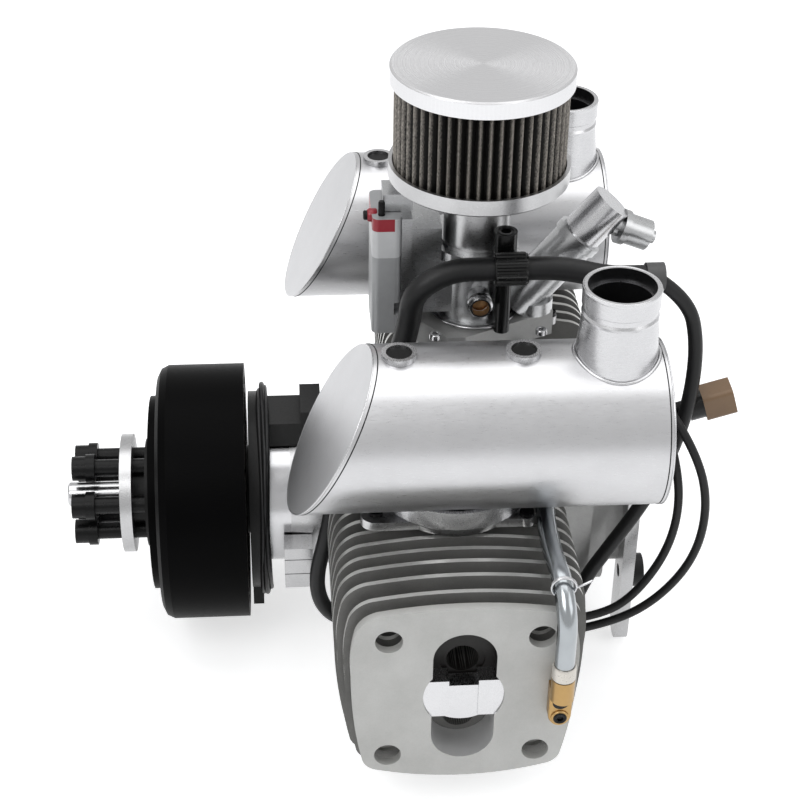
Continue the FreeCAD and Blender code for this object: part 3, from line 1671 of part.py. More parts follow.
# Each route is a list of x, y and z points from the crankcase centre. A tube runs
# straight between them with a bend at each that touches both straights.
ROUTES = {
    "vent_hose": [
        (-42, -23, 52),
        (-42, -23, 66),
        (-37, -26, 84),
        (-32, -27, 104),
        (-30, -31, 126),
        (-14, -28.6, 134.7),
        (34, -28.6, 134.7),
        (55, -30, 130),
        (71, -30, 130),
    ],
    "power_lead": [
        (75, -30, 129.5),
        (91, -30, 118.5),
        (97, -32, 96),
        (95, -38, 68),
        (86, -46, 42),
        (74, -51, 20),
        (61, -52, -2),
        (51, -52, -20),
        (46, -52, -38),
    ],
    "trigger_lead": [
        (48, -9, 45),
        (48, -9, 65),
        (61, -22, 85),
        (79, -47, 80),
        (97, -59, 52),
        (103, -61, 26),
        (100, -61, -2),
        (86, -60, -26),
        (66, -60, -40),
        (47, -60, -44),
    ],
    "sensor_lead": [
        (48, 3, 45),
        (48, 3, 65),
        (61, -10, 82),
        (79, -38, 75),
        (88, -54, 48),
        (91, -58, 24),
        (87, -58, -2),
        (74, -59, -25),
        (60, -60, -35),
        (47, -60, -37),
    ],
    "sender_tube": [
        (27, -66, 54.8),
        (23.4, -86, 54.8),
        (21.6, -105, 55),
        (21.3, -124, 55.6),
        (23, -145, 55.5),
        (24, -157, 45),
        (24, -157, 22),
    ],
}


def rounded_wire(route):
    """The centre line of a tube, with the least bend radius along it."""
    points = [V(x, y, z) + V(CASE_X.value, 0, 0) for x, y, z in route]
    edges = []
    start = points[0]
    least = None
    for before, at, after in zip(points, points[1:], points[2:]):
        back, ahead = before - at, after - at
        half_turn = (math.pi - back.getAngle(ahead)) / 2
        run = 0.45 * min(back.Length, ahead.Length)
        radius = run / math.tan(half_turn)
        least = radius if least is None else min(least, radius)
        back.normalize()
        ahead.normalize()
        enter, leave = at + back * run, at + ahead * run
        inward = back + ahead
        inward.normalize()
        reach = radius / math.cos(half_turn) - radius
        edges.append(Part.makeLine(start, enter))
        edges.append(Part.Arc(enter, at + inward * reach, leave).toShape())
        start = leave
    edges.append(Part.makeLine(start, points[-1]))
    return Part.Wire(edges), least


def tube(node, radius):
    """A round tube along its route, which no primitive or sketch feature can follow."""
    wire, least = rounded_wire(ROUTES[node])
    start = wire.Edges[0]
    direction = start.tangentAt(start.FirstParameter)
    circle = Part.Wire([Part.Circle(start.Vertexes[0].Point, direction, radius.value).toShape()])
    solid = wire.makePipeShell([circle], True, False)
    obj = doc.addObject("Part::Feature", fresh("tube"))
    obj.Shape = solid
    obj.Placement = FreeCAD.Placement()
    swept = wire.Length * math.pi * radius.value ** 2
    print(
        f"{node}: length {wire.Length:.1f}, least bend radius {least:.1f}, "
        f"volume {solid.Volume:.0f} against section times length {swept:.0f}"
    )
    return keep(obj, node)


def hose_joiner():
    """Grey sleeve in which the hose ends and the lead begins."""
    x, y, z = ROUTES["vent_hose"][-1]
    sleeve = cylinder(S.hose_radius + S.joiner_wall, S.joiner_length, CASE_X + x, y, z, ALONG_X)
    x, y, z = ROUTES["power_lead"][0]
    bore = lean(cylinder(S.lead_radius + S.seat_gap, S.joiner_length * 2), CASE_X + x, y, z, S.lead_drop)
    keep(cut(sleeve, bore), "hose_joiner")


# ---- rear sensor and head sender ----


def rear_connector():
    start = ZERO
    thread = S.sensor_thread_length
    stem = thread + S.sensor_stem_length
    collar = stem + S.sensor_collar_length
    wide = S.sensor_stem_radius * 1.4
    profile = [
        (ZERO, start),
        (wide, start),
        (wide, thread),
        (S.sensor_stem_radius, thread),
        (S.sensor_stem_radius, stem),
        (S.sensor_cap_half, stem),
        (S.sensor_cap_half, collar),
        (ZERO, collar),
    ]
    x, y, z = CASE_REAR + S.face_gap, -S.sensor_y, S.sensor_z
    turn = 90 - S.sensor_tilt
    shaft = lean(turned(profile), x, y, z, turn)
    half = S.sensor_cap_half
    cap = padded(collar, S.sensor_cap_length, rounded_rectangle(half, half, half / 3))
    keep(group(shaft, lean(cap, x, y, z, turn)), "rear_connector")


def sender_lug():
    x = CASE_X + S.sender_x
    tall = S.lug_top + S.lug_bottom
    width = S.lug_width
    plate = block(width, S.lug_thickness, tall, x - width / 2, -S.head_face - S.lug_thickness, -S.lug_bottom)
    y = -S.sender_reach
    top, foot = S.ferrule_top, S.ferrule_bottom
    room = cylinder(S.ferrule_radius + S.seat_gap, top - foot + 1, x, y, foot)
    screw = cylinder(S.stud_head_radius - 1, S.stud_radius, x, -S.head_face - S.lug_thickness - S.stud_radius, -S.lug_bottom / 2, ALONG_Y)
    ferrule = cylinder(S.ferrule_radius, top - foot, x, y, foot)
    keep(group(cut(plate, room), screw, ferrule), "sender_lug")


# ---- generator and propeller hub ----


def stator_plate():
    depth = S.stator_plate_thickness
    bore = S.journal_radius + S.face_gap * 2
    boss = S.stator_bore - S.seat_gap
    disc = cylinder(S.stator_plate_radius, depth, STATOR_PLATE_FRONT, turn=ALONG_X)
    reach = S.drum_gap + S.stator_length + 1
    sleeve = cylinder(boss, reach, STATOR_PLATE_FRONT - reach, turn=ALONG_X)
    bulge = block(depth, S.stator_plate_radius, S.bulge_depth, STATOR_PLATE_FRONT, -S.stator_plate_radius / 2, -S.bulge_depth)
    hole = cylinder(bore, reach + depth + 2, STATOR_PLATE_FRONT - reach - 1, turn=ALONG_X)
    keep(cut(fuse(disc, sleeve, bulge), hole), "stator_plate")


def stator():
    length = S.stator_length
    start = STATOR_PLATE_FRONT - S.drum_gap - length
    core = S.stator_bore + S.stator_yoke
    shoe = S.stator_radius - S.stator_shoe
    parts = [ring(S.stator_bore, core, ZERO, length, start, turn=ALONG_X)]
    count = int(S.stator_teeth.value)
    teeth = []
    coils = []
    for i in range(count):
        angle = 360.0 * i / count
        tooth = middle_block(length, S.tooth_width, S.stator_radius - core + 1, z=core - 1)
        coil = cut(
            middle_block(length - 2, S.coil_width, shoe - core - S.face_gap * 2, z=core + S.face_gap),
            middle_block(length, S.tooth_width + S.seat_gap * 2, S.stator_radius, z=core),
        )
        turn = FreeCAD.Rotation(V(1, 0, 0), angle)
        teeth.append(put(tooth_at(tooth), start + length / 2, turn=turn))
        coils.append(put(group(coil), start + length / 2, turn=turn))
    rim = ring(shoe, S.stator_radius, ZERO, length, start, turn=ALONG_X)
    slots = []
    for i in range(count):
        angle = 360.0 * (i + 0.5) / count
        slot = middle_block(length + 2, S.tooth_gap, S.stator_shoe * 3, z=shoe - 1)
        slots.append(put(group(slot), start + length / 2, turn=FreeCAD.Rotation(V(1, 0, 0), angle)))
    iron = common(fuse(parts[0], cut(rim, *slots), *teeth), cylinder(S.stator_radius, length, start, turn=ALONG_X))
    keep(group(iron, *coils), "stator")


def tooth_at(tooth):
    """Wraps a tooth so that it can be turned about the crankshaft axis."""
    return group(tooth)


def rotor_drum():
    outer, web = S.drum_radius, S.drum_web
    inner = outer - S.drum_wall
    bore = S.nose_shaft_radius + S.seat_gap
    edge = S.drum_edge
    length = S.drum_length
    profile = [
        (bore, -length),
        (outer - edge, -length),
        (outer - edge / 3, edge / 3 - length),
        (outer, edge - length),
        (outer, ZERO),
        (inner, ZERO),
        (inner, web - length),
        (bore, web - length),
    ]
    shell = turned(profile, DRUM_REAR, turn=ALONG_X)
    step = cylinder(S.drum_step_radius, S.drum_step_length, STEP_FRONT, turn=ALONG_X)
    hole = cylinder(bore, S.drum_step_length + 2, STEP_FRONT - 1, turn=ALONG_X)
    count = int(S.magnet_count.value)
    thick = S.magnet_thickness
    ring_body = ring(inner - thick, inner - S.seat_gap, ZERO, S.stator_length, DRUM_REAR - S.stator_length - 1, turn=ALONG_X)
    gaps = []
    for i in range(count):
        angle = 360.0 * i / count
        gap = middle_block(S.stator_length + 2, S.tooth_gap, thick * 3, z=inner - thick * 2)
        x = DRUM_REAR - S.stator_length / 2 - 1
        gaps.append(put(group(gap), x, turn=FreeCAD.Rotation(V(1, 0, 0), angle)))
    magnets = cut(ring_body, *gaps)
    keep(group(fuse(shell, cut(step, hole)), magnets), "rotor_drum")


def bolt_places():
    count = int(S.prop_bolt_count.value)
    places = []
    for i in range(count):
        angle = S.prop_bolt_angle + 360.0 * i / count
        places.append((S.prop_circle_radius * cosine(angle), S.prop_circle_radius * sine(angle)))
    return places


def along_holes(places, radius, start, length):
    return [cylinder(radius, length, start, y, z, ALONG_X) for y, z in places]


def prop_hub():
    places = bolt_places()
    gap = S.face_gap / 4
    flange = cylinder(S.hub_radius, S.hub_flange_thickness, HUB_FRONT, turn=ALONG_X)
    boss = cylinder(S.hub_boss_radius, S.prop_gap, WASHER_REAR, turn=ALONG_X)
    holes = along_holes(places, S.prop_bolt_radius + S.seat_gap, WASHER_REAR - 1, S.prop_gap + S.hub_flange_thickness + 2)
    pin = cylinder(S.pilot_tail_radius + S.seat_gap, S.prop_gap + S.hub_flange_thickness / 2 + 1, WASHER_REAR - 1, turn=ALONG_X)
    shaft = cylinder(S.nose_shaft_radius + gap, S.hub_flange_thickness + 1, HUB_FRONT, turn=ALONG_X)
    keep(cut(fuse(flange, boss), pin, shaft, *holes), "prop_hub")


def prop_washer():
    places = bolt_places()
    disc = cylinder(S.prop_washer_radius, S.prop_washer_thickness, WASHER_FRONT, turn=ALONG_X)
    length = S.prop_washer_thickness + 2
    holes = along_holes(places, S.prop_bolt_radius + S.seat_gap, WASHER_FRONT - 1, length)
    pin = cylinder(S.pilot_tail_radius + S.seat_gap, length, WASHER_FRONT - 1, turn=ALONG_X)
    keep(cut(disc, pin, *holes), "prop_washer")


def prop_bolts():
    tip = CASE_X - S.bolt_tip
    head = S.bolt_head_length
    flange = head + S.bolt_flange_length
    length = HUB_FRONT - tip + S.hub_flange_thickness
    profile = [
        (ZERO, ZERO),
        (S.bolt_head_radius, ZERO),
        (S.bolt_head_radius, head),
        (S.bolt_flange_radius, head),
        (S.bolt_flange_radius, flange),
        (S.prop_bolt_radius, flange),
        (S.prop_bolt_radius, length),
        (ZERO, length),
    ]
    bolts = [turned(profile, tip, y, z, ALONG_X) for y, z in bolt_places()]
    keep(group(*bolts), "prop_bolts")


def pilot_pin():
    tip = CASE_X - S.pilot_tip
    free = WASHER_FRONT - tip
    length = WASHER_REAR - tip + S.prop_gap
    edge = S.face_gap * 2
    profile = [
        (ZERO, ZERO),
        (S.pilot_radius - edge, ZERO),
        (S.pilot_radius, edge),
        (S.pilot_radius, free),
        (S.pilot_tail_radius, free),
        (S.pilot_tail_radius, length),
        (ZERO, length),
    ]
    keep(turned(profile, tip, turn=ALONG_X), "pilot_pin")


# ---- small fasteners ----


def case_screws():
    """Exhaust flange screws, and the screws round the rear cover."""
    solids = []
    top = DUCT_TOP + S.flange_thickness
    wide = S.ear_bolt_radius * 1.6
    profile = [
        (ZERO, DUCT_TOP),
        (S.ear_bolt_radius, DUCT_TOP),
        (S.ear_bolt_radius, top),
        (wide, top),
        (wide, top + S.ear_bolt_radius),
        (ZERO, top + S.ear_bolt_radius),
    ]
    for side in SIDES.values():
        for x, y, _ in exhaust_ears():
            solids.append(turned(profile, cylinder_x(side) + x, side * S.port_distance + y))
    keep(group(*solids), "case_screws")


def build_all():
    crankcase()
    front_cover()
    nose_ring()
    nose_blocks()
    sensor_box()
    rear_cover()
    mount_plate()
    mount_isolators()
    main_bearings()
    head_inserts()
    cylinder_bolts()
    crankshaft()
    for word, side in SIDES.items():
        engine_cylinder(word, side)
        piston(word, side)
        connecting_rod(word, side)
        muffler_shell(word, side)
    exhaust_flanges()
    exhaust_saddles()
    muffler_caps()
    outlet_stacks()
    muffler_plugs()
    intake_manifold()
    reed_valve()
    throttle_base()
    throttle_body()
    throttle_shaft()
    throttle_plate()
    filter_base()
    filter_element()
    filter_lid()
    servo()
    injector()
    port_sensor()
    hose_post()
    hose_clamp()
    hose_joiner()
    tube("vent_hose", S.hose_radius)
    tube("power_lead", S.lead_radius)
    tube("trigger_lead", S.thin_lead_radius)
    tube("sensor_lead", S.thin_lead_radius)
    tube("sender_tube", S.sender_tube_radius)
    rear_connector()
    sender_lug()
    stator_plate()
    stator()
    rotor_drum()
    prop_hub()
    prop_washer()
    prop_bolts()
    pilot_pin()
    case_screws()


build_all()
doc.recompute()

faults = []
for obj in doc.Objects:
    if "Invalid" in obj.State or "Error" in obj.State:
        faults.append(f"{obj.Name} ({obj.Label}): {obj.State}")
for node, obj in nodes.items():
    shape = obj.Shape
    if shape.isNull() or not shape.isValid():
        faults.append(f"{node}: shape is null or not valid")
    elif not shape.Solids:
        faults.append(f"{node}: no solid")
if faults:
    raise RuntimeError("; ".join(faults))

os.makedirs("parts", exist_ok=True)
for node, obj in nodes.items():
    obj.Shape.exportStep(f"parts/{node}.step")
    print(f"{node}: {len(obj.Shape.Solids)} solids, volume {obj.Shape.Volume:.0f}")
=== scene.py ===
import json
import math

import bmesh
import bpy
from mathutils import Matrix, Vector


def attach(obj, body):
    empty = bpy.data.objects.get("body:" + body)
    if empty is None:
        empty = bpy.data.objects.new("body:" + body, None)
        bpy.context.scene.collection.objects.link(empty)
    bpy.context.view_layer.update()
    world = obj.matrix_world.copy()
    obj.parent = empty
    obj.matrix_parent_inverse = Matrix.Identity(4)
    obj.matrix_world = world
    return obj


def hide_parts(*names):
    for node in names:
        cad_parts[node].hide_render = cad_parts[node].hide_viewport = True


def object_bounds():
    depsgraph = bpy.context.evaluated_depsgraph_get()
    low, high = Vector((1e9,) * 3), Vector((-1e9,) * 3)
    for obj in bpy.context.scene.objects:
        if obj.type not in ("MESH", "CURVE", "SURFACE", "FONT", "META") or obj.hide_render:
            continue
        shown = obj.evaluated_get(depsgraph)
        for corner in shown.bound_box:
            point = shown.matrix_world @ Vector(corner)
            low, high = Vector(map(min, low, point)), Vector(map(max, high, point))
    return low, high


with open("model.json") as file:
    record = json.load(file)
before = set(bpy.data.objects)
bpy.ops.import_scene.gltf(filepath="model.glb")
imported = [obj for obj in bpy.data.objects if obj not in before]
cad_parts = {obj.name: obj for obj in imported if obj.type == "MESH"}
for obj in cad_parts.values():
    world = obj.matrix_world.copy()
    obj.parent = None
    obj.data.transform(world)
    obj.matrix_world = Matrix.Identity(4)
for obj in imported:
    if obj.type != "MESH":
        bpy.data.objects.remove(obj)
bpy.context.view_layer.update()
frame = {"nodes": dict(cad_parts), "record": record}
scene = bpy.context.scene
scene.view_settings.view_transform = "Standard"
MM = 0.001

# Places below are in millimetres from the middle of the crankcase, which is here in metres.
CASE_X = -0.082
HEAD_FACE = 150.3  # each head face's distance from the crankcase centre
STAGGER = 16.0  # the near cylinder is this far forward, the far one this far back
MUFFLER_Z = 94.8
MUFFLER_R = 35.0
MUFFLERS = ((0.0, -88.6), (2.5, 88.6))  # each one's shift along X, and its Y
MUFFLER_RAKE = math.tan(math.radians(27.0))
STACK_X = 48.5
PLUGS_X = (-40.5, 10.4)
FIN_PITCH = 8.2
FINS_DEPTH = (4.1, 90.0)  # where the fins start and end, down from the head face
SENSOR_Z = 113.9
HOSE = (-28.6, 134.7)  # Y and Z of the vent hose where the clamp grips it
LUG = (24.0, -157.0)  # X and Y of the sender's ferrule


def at(x, y, z):
    """The row-frame point, in metres, of a place given in mm from the crankcase centre."""
    return Vector((CASE_X + x * MM, y * MM, z * MM))


# ---- camera ----

camera_data = bpy.data.cameras.new("camera")
camera_data.lens = 83.85
camera_data.sensor_width = 36.0
camera_data.clip_start = 0.05
camera_data.clip_end = 20.0
camera = bpy.data.objects.new("camera", camera_data)
camera_place = Vector((-0.1726, -0.7223, 0.5342))
right = Vector((0.99741, -0.07061, 0.01398))
roughly_up = Vector((0.02771, 0.55594, 0.83076))
back = right.cross(roughly_up).normalized()
up = back.cross(right).normalized()
camera_turn = Matrix((right, up, back)).transposed().to_4x4()
camera.matrix_world = Matrix.Translation(camera_place) @ camera_turn
scene.collection.objects.link(camera)
scene.camera = camera


# ---- leads ----


def lead(name, node, route, radius):
    """One smooth NURBS line through the space of the lead's CAD tube.

    The points carry the radius, in mm. The length is in metres."""
    data = bpy.data.curves.new(name, "CURVE")
    data.dimensions = "3D"
    data.bevel_depth = 1.0
    data.bevel_resolution = 5
    data.resolution_u = 14
    data.use_fill_caps = True
    line = data.splines.new("NURBS")
    line.points.add(len(route) - 1)
    for point, place in zip(line.points, route):
        point.co = (*at(*place), 1.0)
        point.radius = radius * MM
    line.order_u = 3
    line.use_endpoint_u = True
    obj = bpy.data.objects.new(name, data)
    scene.collection.objects.link(obj)
    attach(obj, "engine")
    if node:
        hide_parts(node)
    return obj


leads = [
    lead(
        "power_lead_sheath",
        "power_lead",
        [
            (75, -30, 129.5),
            (91, -30, 118.5),
            (97, -32, 96),
            (95, -38, 68),
            (86, -46, 42),
            (74, -51, 20),
            (61, -52, -2),
            (51, -52, -20),
            (46, -52, -38),
        ],
        3.3,
    ),
    lead(
        "trigger_lead_sheath",
        "trigger_lead",
        [
            (48, -9, 45),
            (48, -9, 65),
            (61, -22, 85),
            (79, -47, 80),
            (97, -59, 52),
            (103, -61, 26),
            (100, -61, -2),
            (86, -60, -26),
            (66, -60, -40),
            (47, -60, -44),
        ],
        2.0,
    ),
    lead(
        "sensor_lead_sheath",
        "sensor_lead",
        [
            (48, 3, 45),
            (48, 3, 65),
            (61, -10, 82),
            (79, -38, 75),
            (88, -54, 48),
            (91, -58, 24),
            (87, -58, -2),
            (74, -59, -25),
            (60, -60, -35),
            (47, -60, -37),
        ],
        2.0,
    ),
    lead(
        "generator_lead_sheath",
        None,
        [
            (-64, -35, 38),
            (-65, -50, 36),
            (-69, -59, 18),
            (-75, -61, -6),
            (-72, -60, -25),
            (-61, -57, -36),
            (-50, -50, -37),
        ],
        3.6,
    ),
]


# ---- shader helpers ----


def new_material(name):
    mat = bpy.data.materials.new(name)
    mat.use_nodes = True
    shader = mat.node_tree.nodes["Principled BSDF"]
    return mat, mat.node_tree, shader


def add(tree, kind, **values):
    node = tree.nodes.new(kind)
    for name, value in values.items():
        setattr(node, name, value)
    return node


def link(tree, out_socket, in_socket):
    tree.links.new(out_socket, in_socket)


def coords(tree, stretch=(1.0, 1.0, 1.0)):
    """Object coordinates, which are the row frame, drawn out by a stretch."""
    source = add(tree, "ShaderNodeTexCoord")
    mapping = add(tree, "ShaderNodeMapping")
    mapping.inputs["Scale"].default_value = stretch
    link(tree, source.outputs["Object"], mapping.inputs["Vector"])
    return mapping.outputs["Vector"]


def noise(tree, vector, scale, detail=4.0, roughness=0.6):
    node = add(tree, "ShaderNodeTexNoise")
    node.inputs["Scale"].default_value = scale
    node.inputs["Detail"].default_value = detail
    node.inputs["Roughness"].default_value = roughness
    link(tree, vector, node.inputs["Vector"])
    return node.outputs["Fac"]


def spread(tree, value, low, high, start=0.3, end=0.7):
    """Maps a value from start..end on to low..high."""
    node = add(tree, "ShaderNodeMapRange")
    node.inputs["From Min"].default_value = start
    node.inputs["From Max"].default_value = end
    node.inputs["To Min"].default_value = low
    node.inputs["To Max"].default_value = high
    link(tree, value, node.inputs["Value"])
    return node.outputs["Result"]


def shades(tree, value, dark, light, start=0.3, end=0.7):
    """A colour between dark and light, by a value from start to end."""
    ramp = add(tree, "ShaderNodeValToRGB")
    ramp.color_ramp.elements[0].position = start
    ramp.color_ramp.elements[0].color = (*dark, 1.0)
    ramp.color_ramp.elements[1].position = end
    ramp.color_ramp.elements[1].color = (*light, 1.0)
    link(tree, value, ramp.inputs["Fac"])
    return ramp.outputs["Color"]


def bump(tree, shader, height, strength, distance):
    node = add(tree, "ShaderNodeBump")
    node.inputs["Strength"].default_value = strength
    node.inputs["Distance"].default_value = distance
    link(tree, height, node.inputs["Height"])
    link(tree, node.outputs["Normal"], shader.inputs["Normal"])


def surface(
    name,
    colour,
    rough,
    metal=0.0,
    blotch=0.08,
    grain=900.0,
    grain_depth=0.00004,
    stretch=(1.0, 1.0, 1.0),
    spec=0.5,
):
    """A procedural surface: colour that drifts, roughness that varies, and fine grain.

    A stretch far from even in one direction draws the grain out into brush marks."""
    mat, tree, shader = new_material(name)
    shader.inputs["Metallic"].default_value = metal
    shader.inputs["Specular IOR Level"].default_value = spec
    smooth = coords(tree)
    drift = noise(tree, smooth, 60.0, 5.0)
    dark = tuple(c * (1.0 - blotch) for c in colour)
    light = tuple(min(c * (1.0 + blotch), 1.0) for c in colour)
    link(tree, shades(tree, drift, dark, light), shader.inputs["Base Color"])
    drawn = coords(tree, stretch)
    marks = noise(tree, drawn, grain, 3.0, 0.7)
    link(tree, spread(tree, marks, rough * 0.8, min(rough * 1.25, 1.0)), shader.inputs["Roughness"])
    bump(tree, shader, marks, 0.35, grain_depth)
    return mat


def from_centre_axis(tree):
    """Distance in metres from the upright axis through the crankcase centre."""
    source = add(tree, "ShaderNodeTexCoord")
    shift = add(tree, "ShaderNodeVectorMath", operation="SUBTRACT")
    shift.inputs[1].default_value = at(0, 0, 0)
    flat = add(tree, "ShaderNodeVectorMath", operation="MULTIPLY")
    flat.inputs[1].default_value = (1.0, 1.0, 0.0)
    reach = add(tree, "ShaderNodeVectorMath", operation="LENGTH")
    link(tree, source.outputs["Object"], shift.inputs[0])
    link(tree, shift.outputs["Vector"], flat.inputs[0])
    link(tree, flat.outputs["Vector"], reach.inputs[0])
    return reach.outputs["Value"]


def lid_surface():
    """Bright lid with fine turning marks round its middle."""
    mat, tree, shader = new_material("polished_lid")
    shader.inputs["Metallic"].default_value = 1.0
    reach = from_centre_axis(tree)
    rings = add(tree, "ShaderNodeTexNoise", noise_dimensions="1D")
    rings.inputs["Scale"].default_value = 4200.0
    rings.inputs["Detail"].default_value = 3.0
    link(tree, reach, rings.inputs["W"])
    colour = shades(tree, rings.outputs["Fac"], (0.60, 0.60, 0.61), (0.74, 0.74, 0.75))
    link(tree, colour, shader.inputs["Base Color"])
    link(tree, spread(tree, rings.outputs["Fac"], 0.20, 0.36), shader.inputs["Roughness"])
    bump(tree, shader, rings.outputs["Fac"], 0.35, 0.00002)
    source = add(tree, "ShaderNodeTexCoord")
    away = add(tree, "ShaderNodeVectorMath", operation="SUBTRACT")
    away.inputs[1].default_value = at(0, 0, 0)
    along = add(tree, "ShaderNodeVectorMath", operation="CROSS_PRODUCT")
    along.inputs[1].default_value = (0.0, 0.0, 1.0)
    link(tree, source.outputs["Object"], away.inputs[0])
    link(tree, away.outputs["Vector"], along.inputs[0])
    link(tree, along.outputs["Vector"], shader.inputs["Tangent"])
    shader.inputs["Anisotropic"].default_value = 0.8
    return mat


def pleat_surface():
    """Oiled gauze with a wire-mesh grain: painted shade near black down in the folds, lighter on
    the ridges.
    """
    mat, tree, shader = new_material("filter_mesh")
    reach = from_centre_axis(tree)
    # painted shade: darker the further in towards the folds, by the distance from the middle axis
    fold_shade_mask = spread(tree, reach, 0.0, 1.0, 0.0352, 0.0381)
    mesh = noise(tree, coords(tree, (1.0, 1.0, 0.35)), 2600.0, 2.0)
    mixed = add(tree, "ShaderNodeMath", operation="MULTIPLY")
    link(tree, fold_shade_mask, mixed.inputs[0])
    link(tree, spread(tree, mesh, 0.55, 1.25), mixed.inputs[1])
    # near black is the painted shade in the folds; the light colour is the gauze on the ridges
    dark, light = (0.004, 0.0035, 0.003), (0.50, 0.46, 0.41)
    colour = shades(tree, mixed.outputs[0], dark, light, 0.2, 1.05)
    link(tree, colour, shader.inputs["Base Color"])
    shader.inputs["Metallic"].default_value = 0.35
    shader.inputs["Roughness"].default_value = 0.5
    bump(tree, shader, mesh, 0.7, 0.0002)
    return mat


def fin_surface():
    """Blasted casting: lighter on the outer face and darker below it, the darker part being partly
    painted shade down between the fins.
    """
    mat, tree, shader = new_material("fin_cast")
    shader.inputs["Metallic"].default_value = 0.35
    smooth = coords(tree)
    drift = noise(tree, smooth, 45.0, 5.0)
    source = add(tree, "ShaderNodeTexCoord")
    split = add(tree, "ShaderNodeSeparateXYZ")
    link(tree, source.outputs["Object"], split.inputs[0])
    out = add(tree, "ShaderNodeMath", operation="ABSOLUTE")
    link(tree, split.outputs["Y"], out.inputs[0])
    face = spread(tree, out.outputs[0], 0.0, 1.0, 0.1455, 0.1500)
    # painted shade: the casting below the outer face is darkened for the shade among the fins; the
    # outer face keeps the lighter colour
    body = shades(tree, drift, (0.30, 0.295, 0.28), (0.40, 0.395, 0.38))
    plate = shades(tree, drift, (0.44, 0.44, 0.425), (0.52, 0.52, 0.505))
    mix = add(tree, "ShaderNodeMix", data_type="RGBA")
    link(tree, face, mix.inputs["Factor"])
    link(tree, body, mix.inputs["A"])
    link(tree, plate, mix.inputs["B"])
    link(tree, mix.outputs["Result"], shader.inputs["Base Color"])
    grain = noise(tree, smooth, 1900.0, 2.0, 0.7)
    link(tree, spread(tree, grain, 0.5, 0.72), shader.inputs["Roughness"])
    bump(tree, shader, grain, 0.4, 0.00008)
    return mat


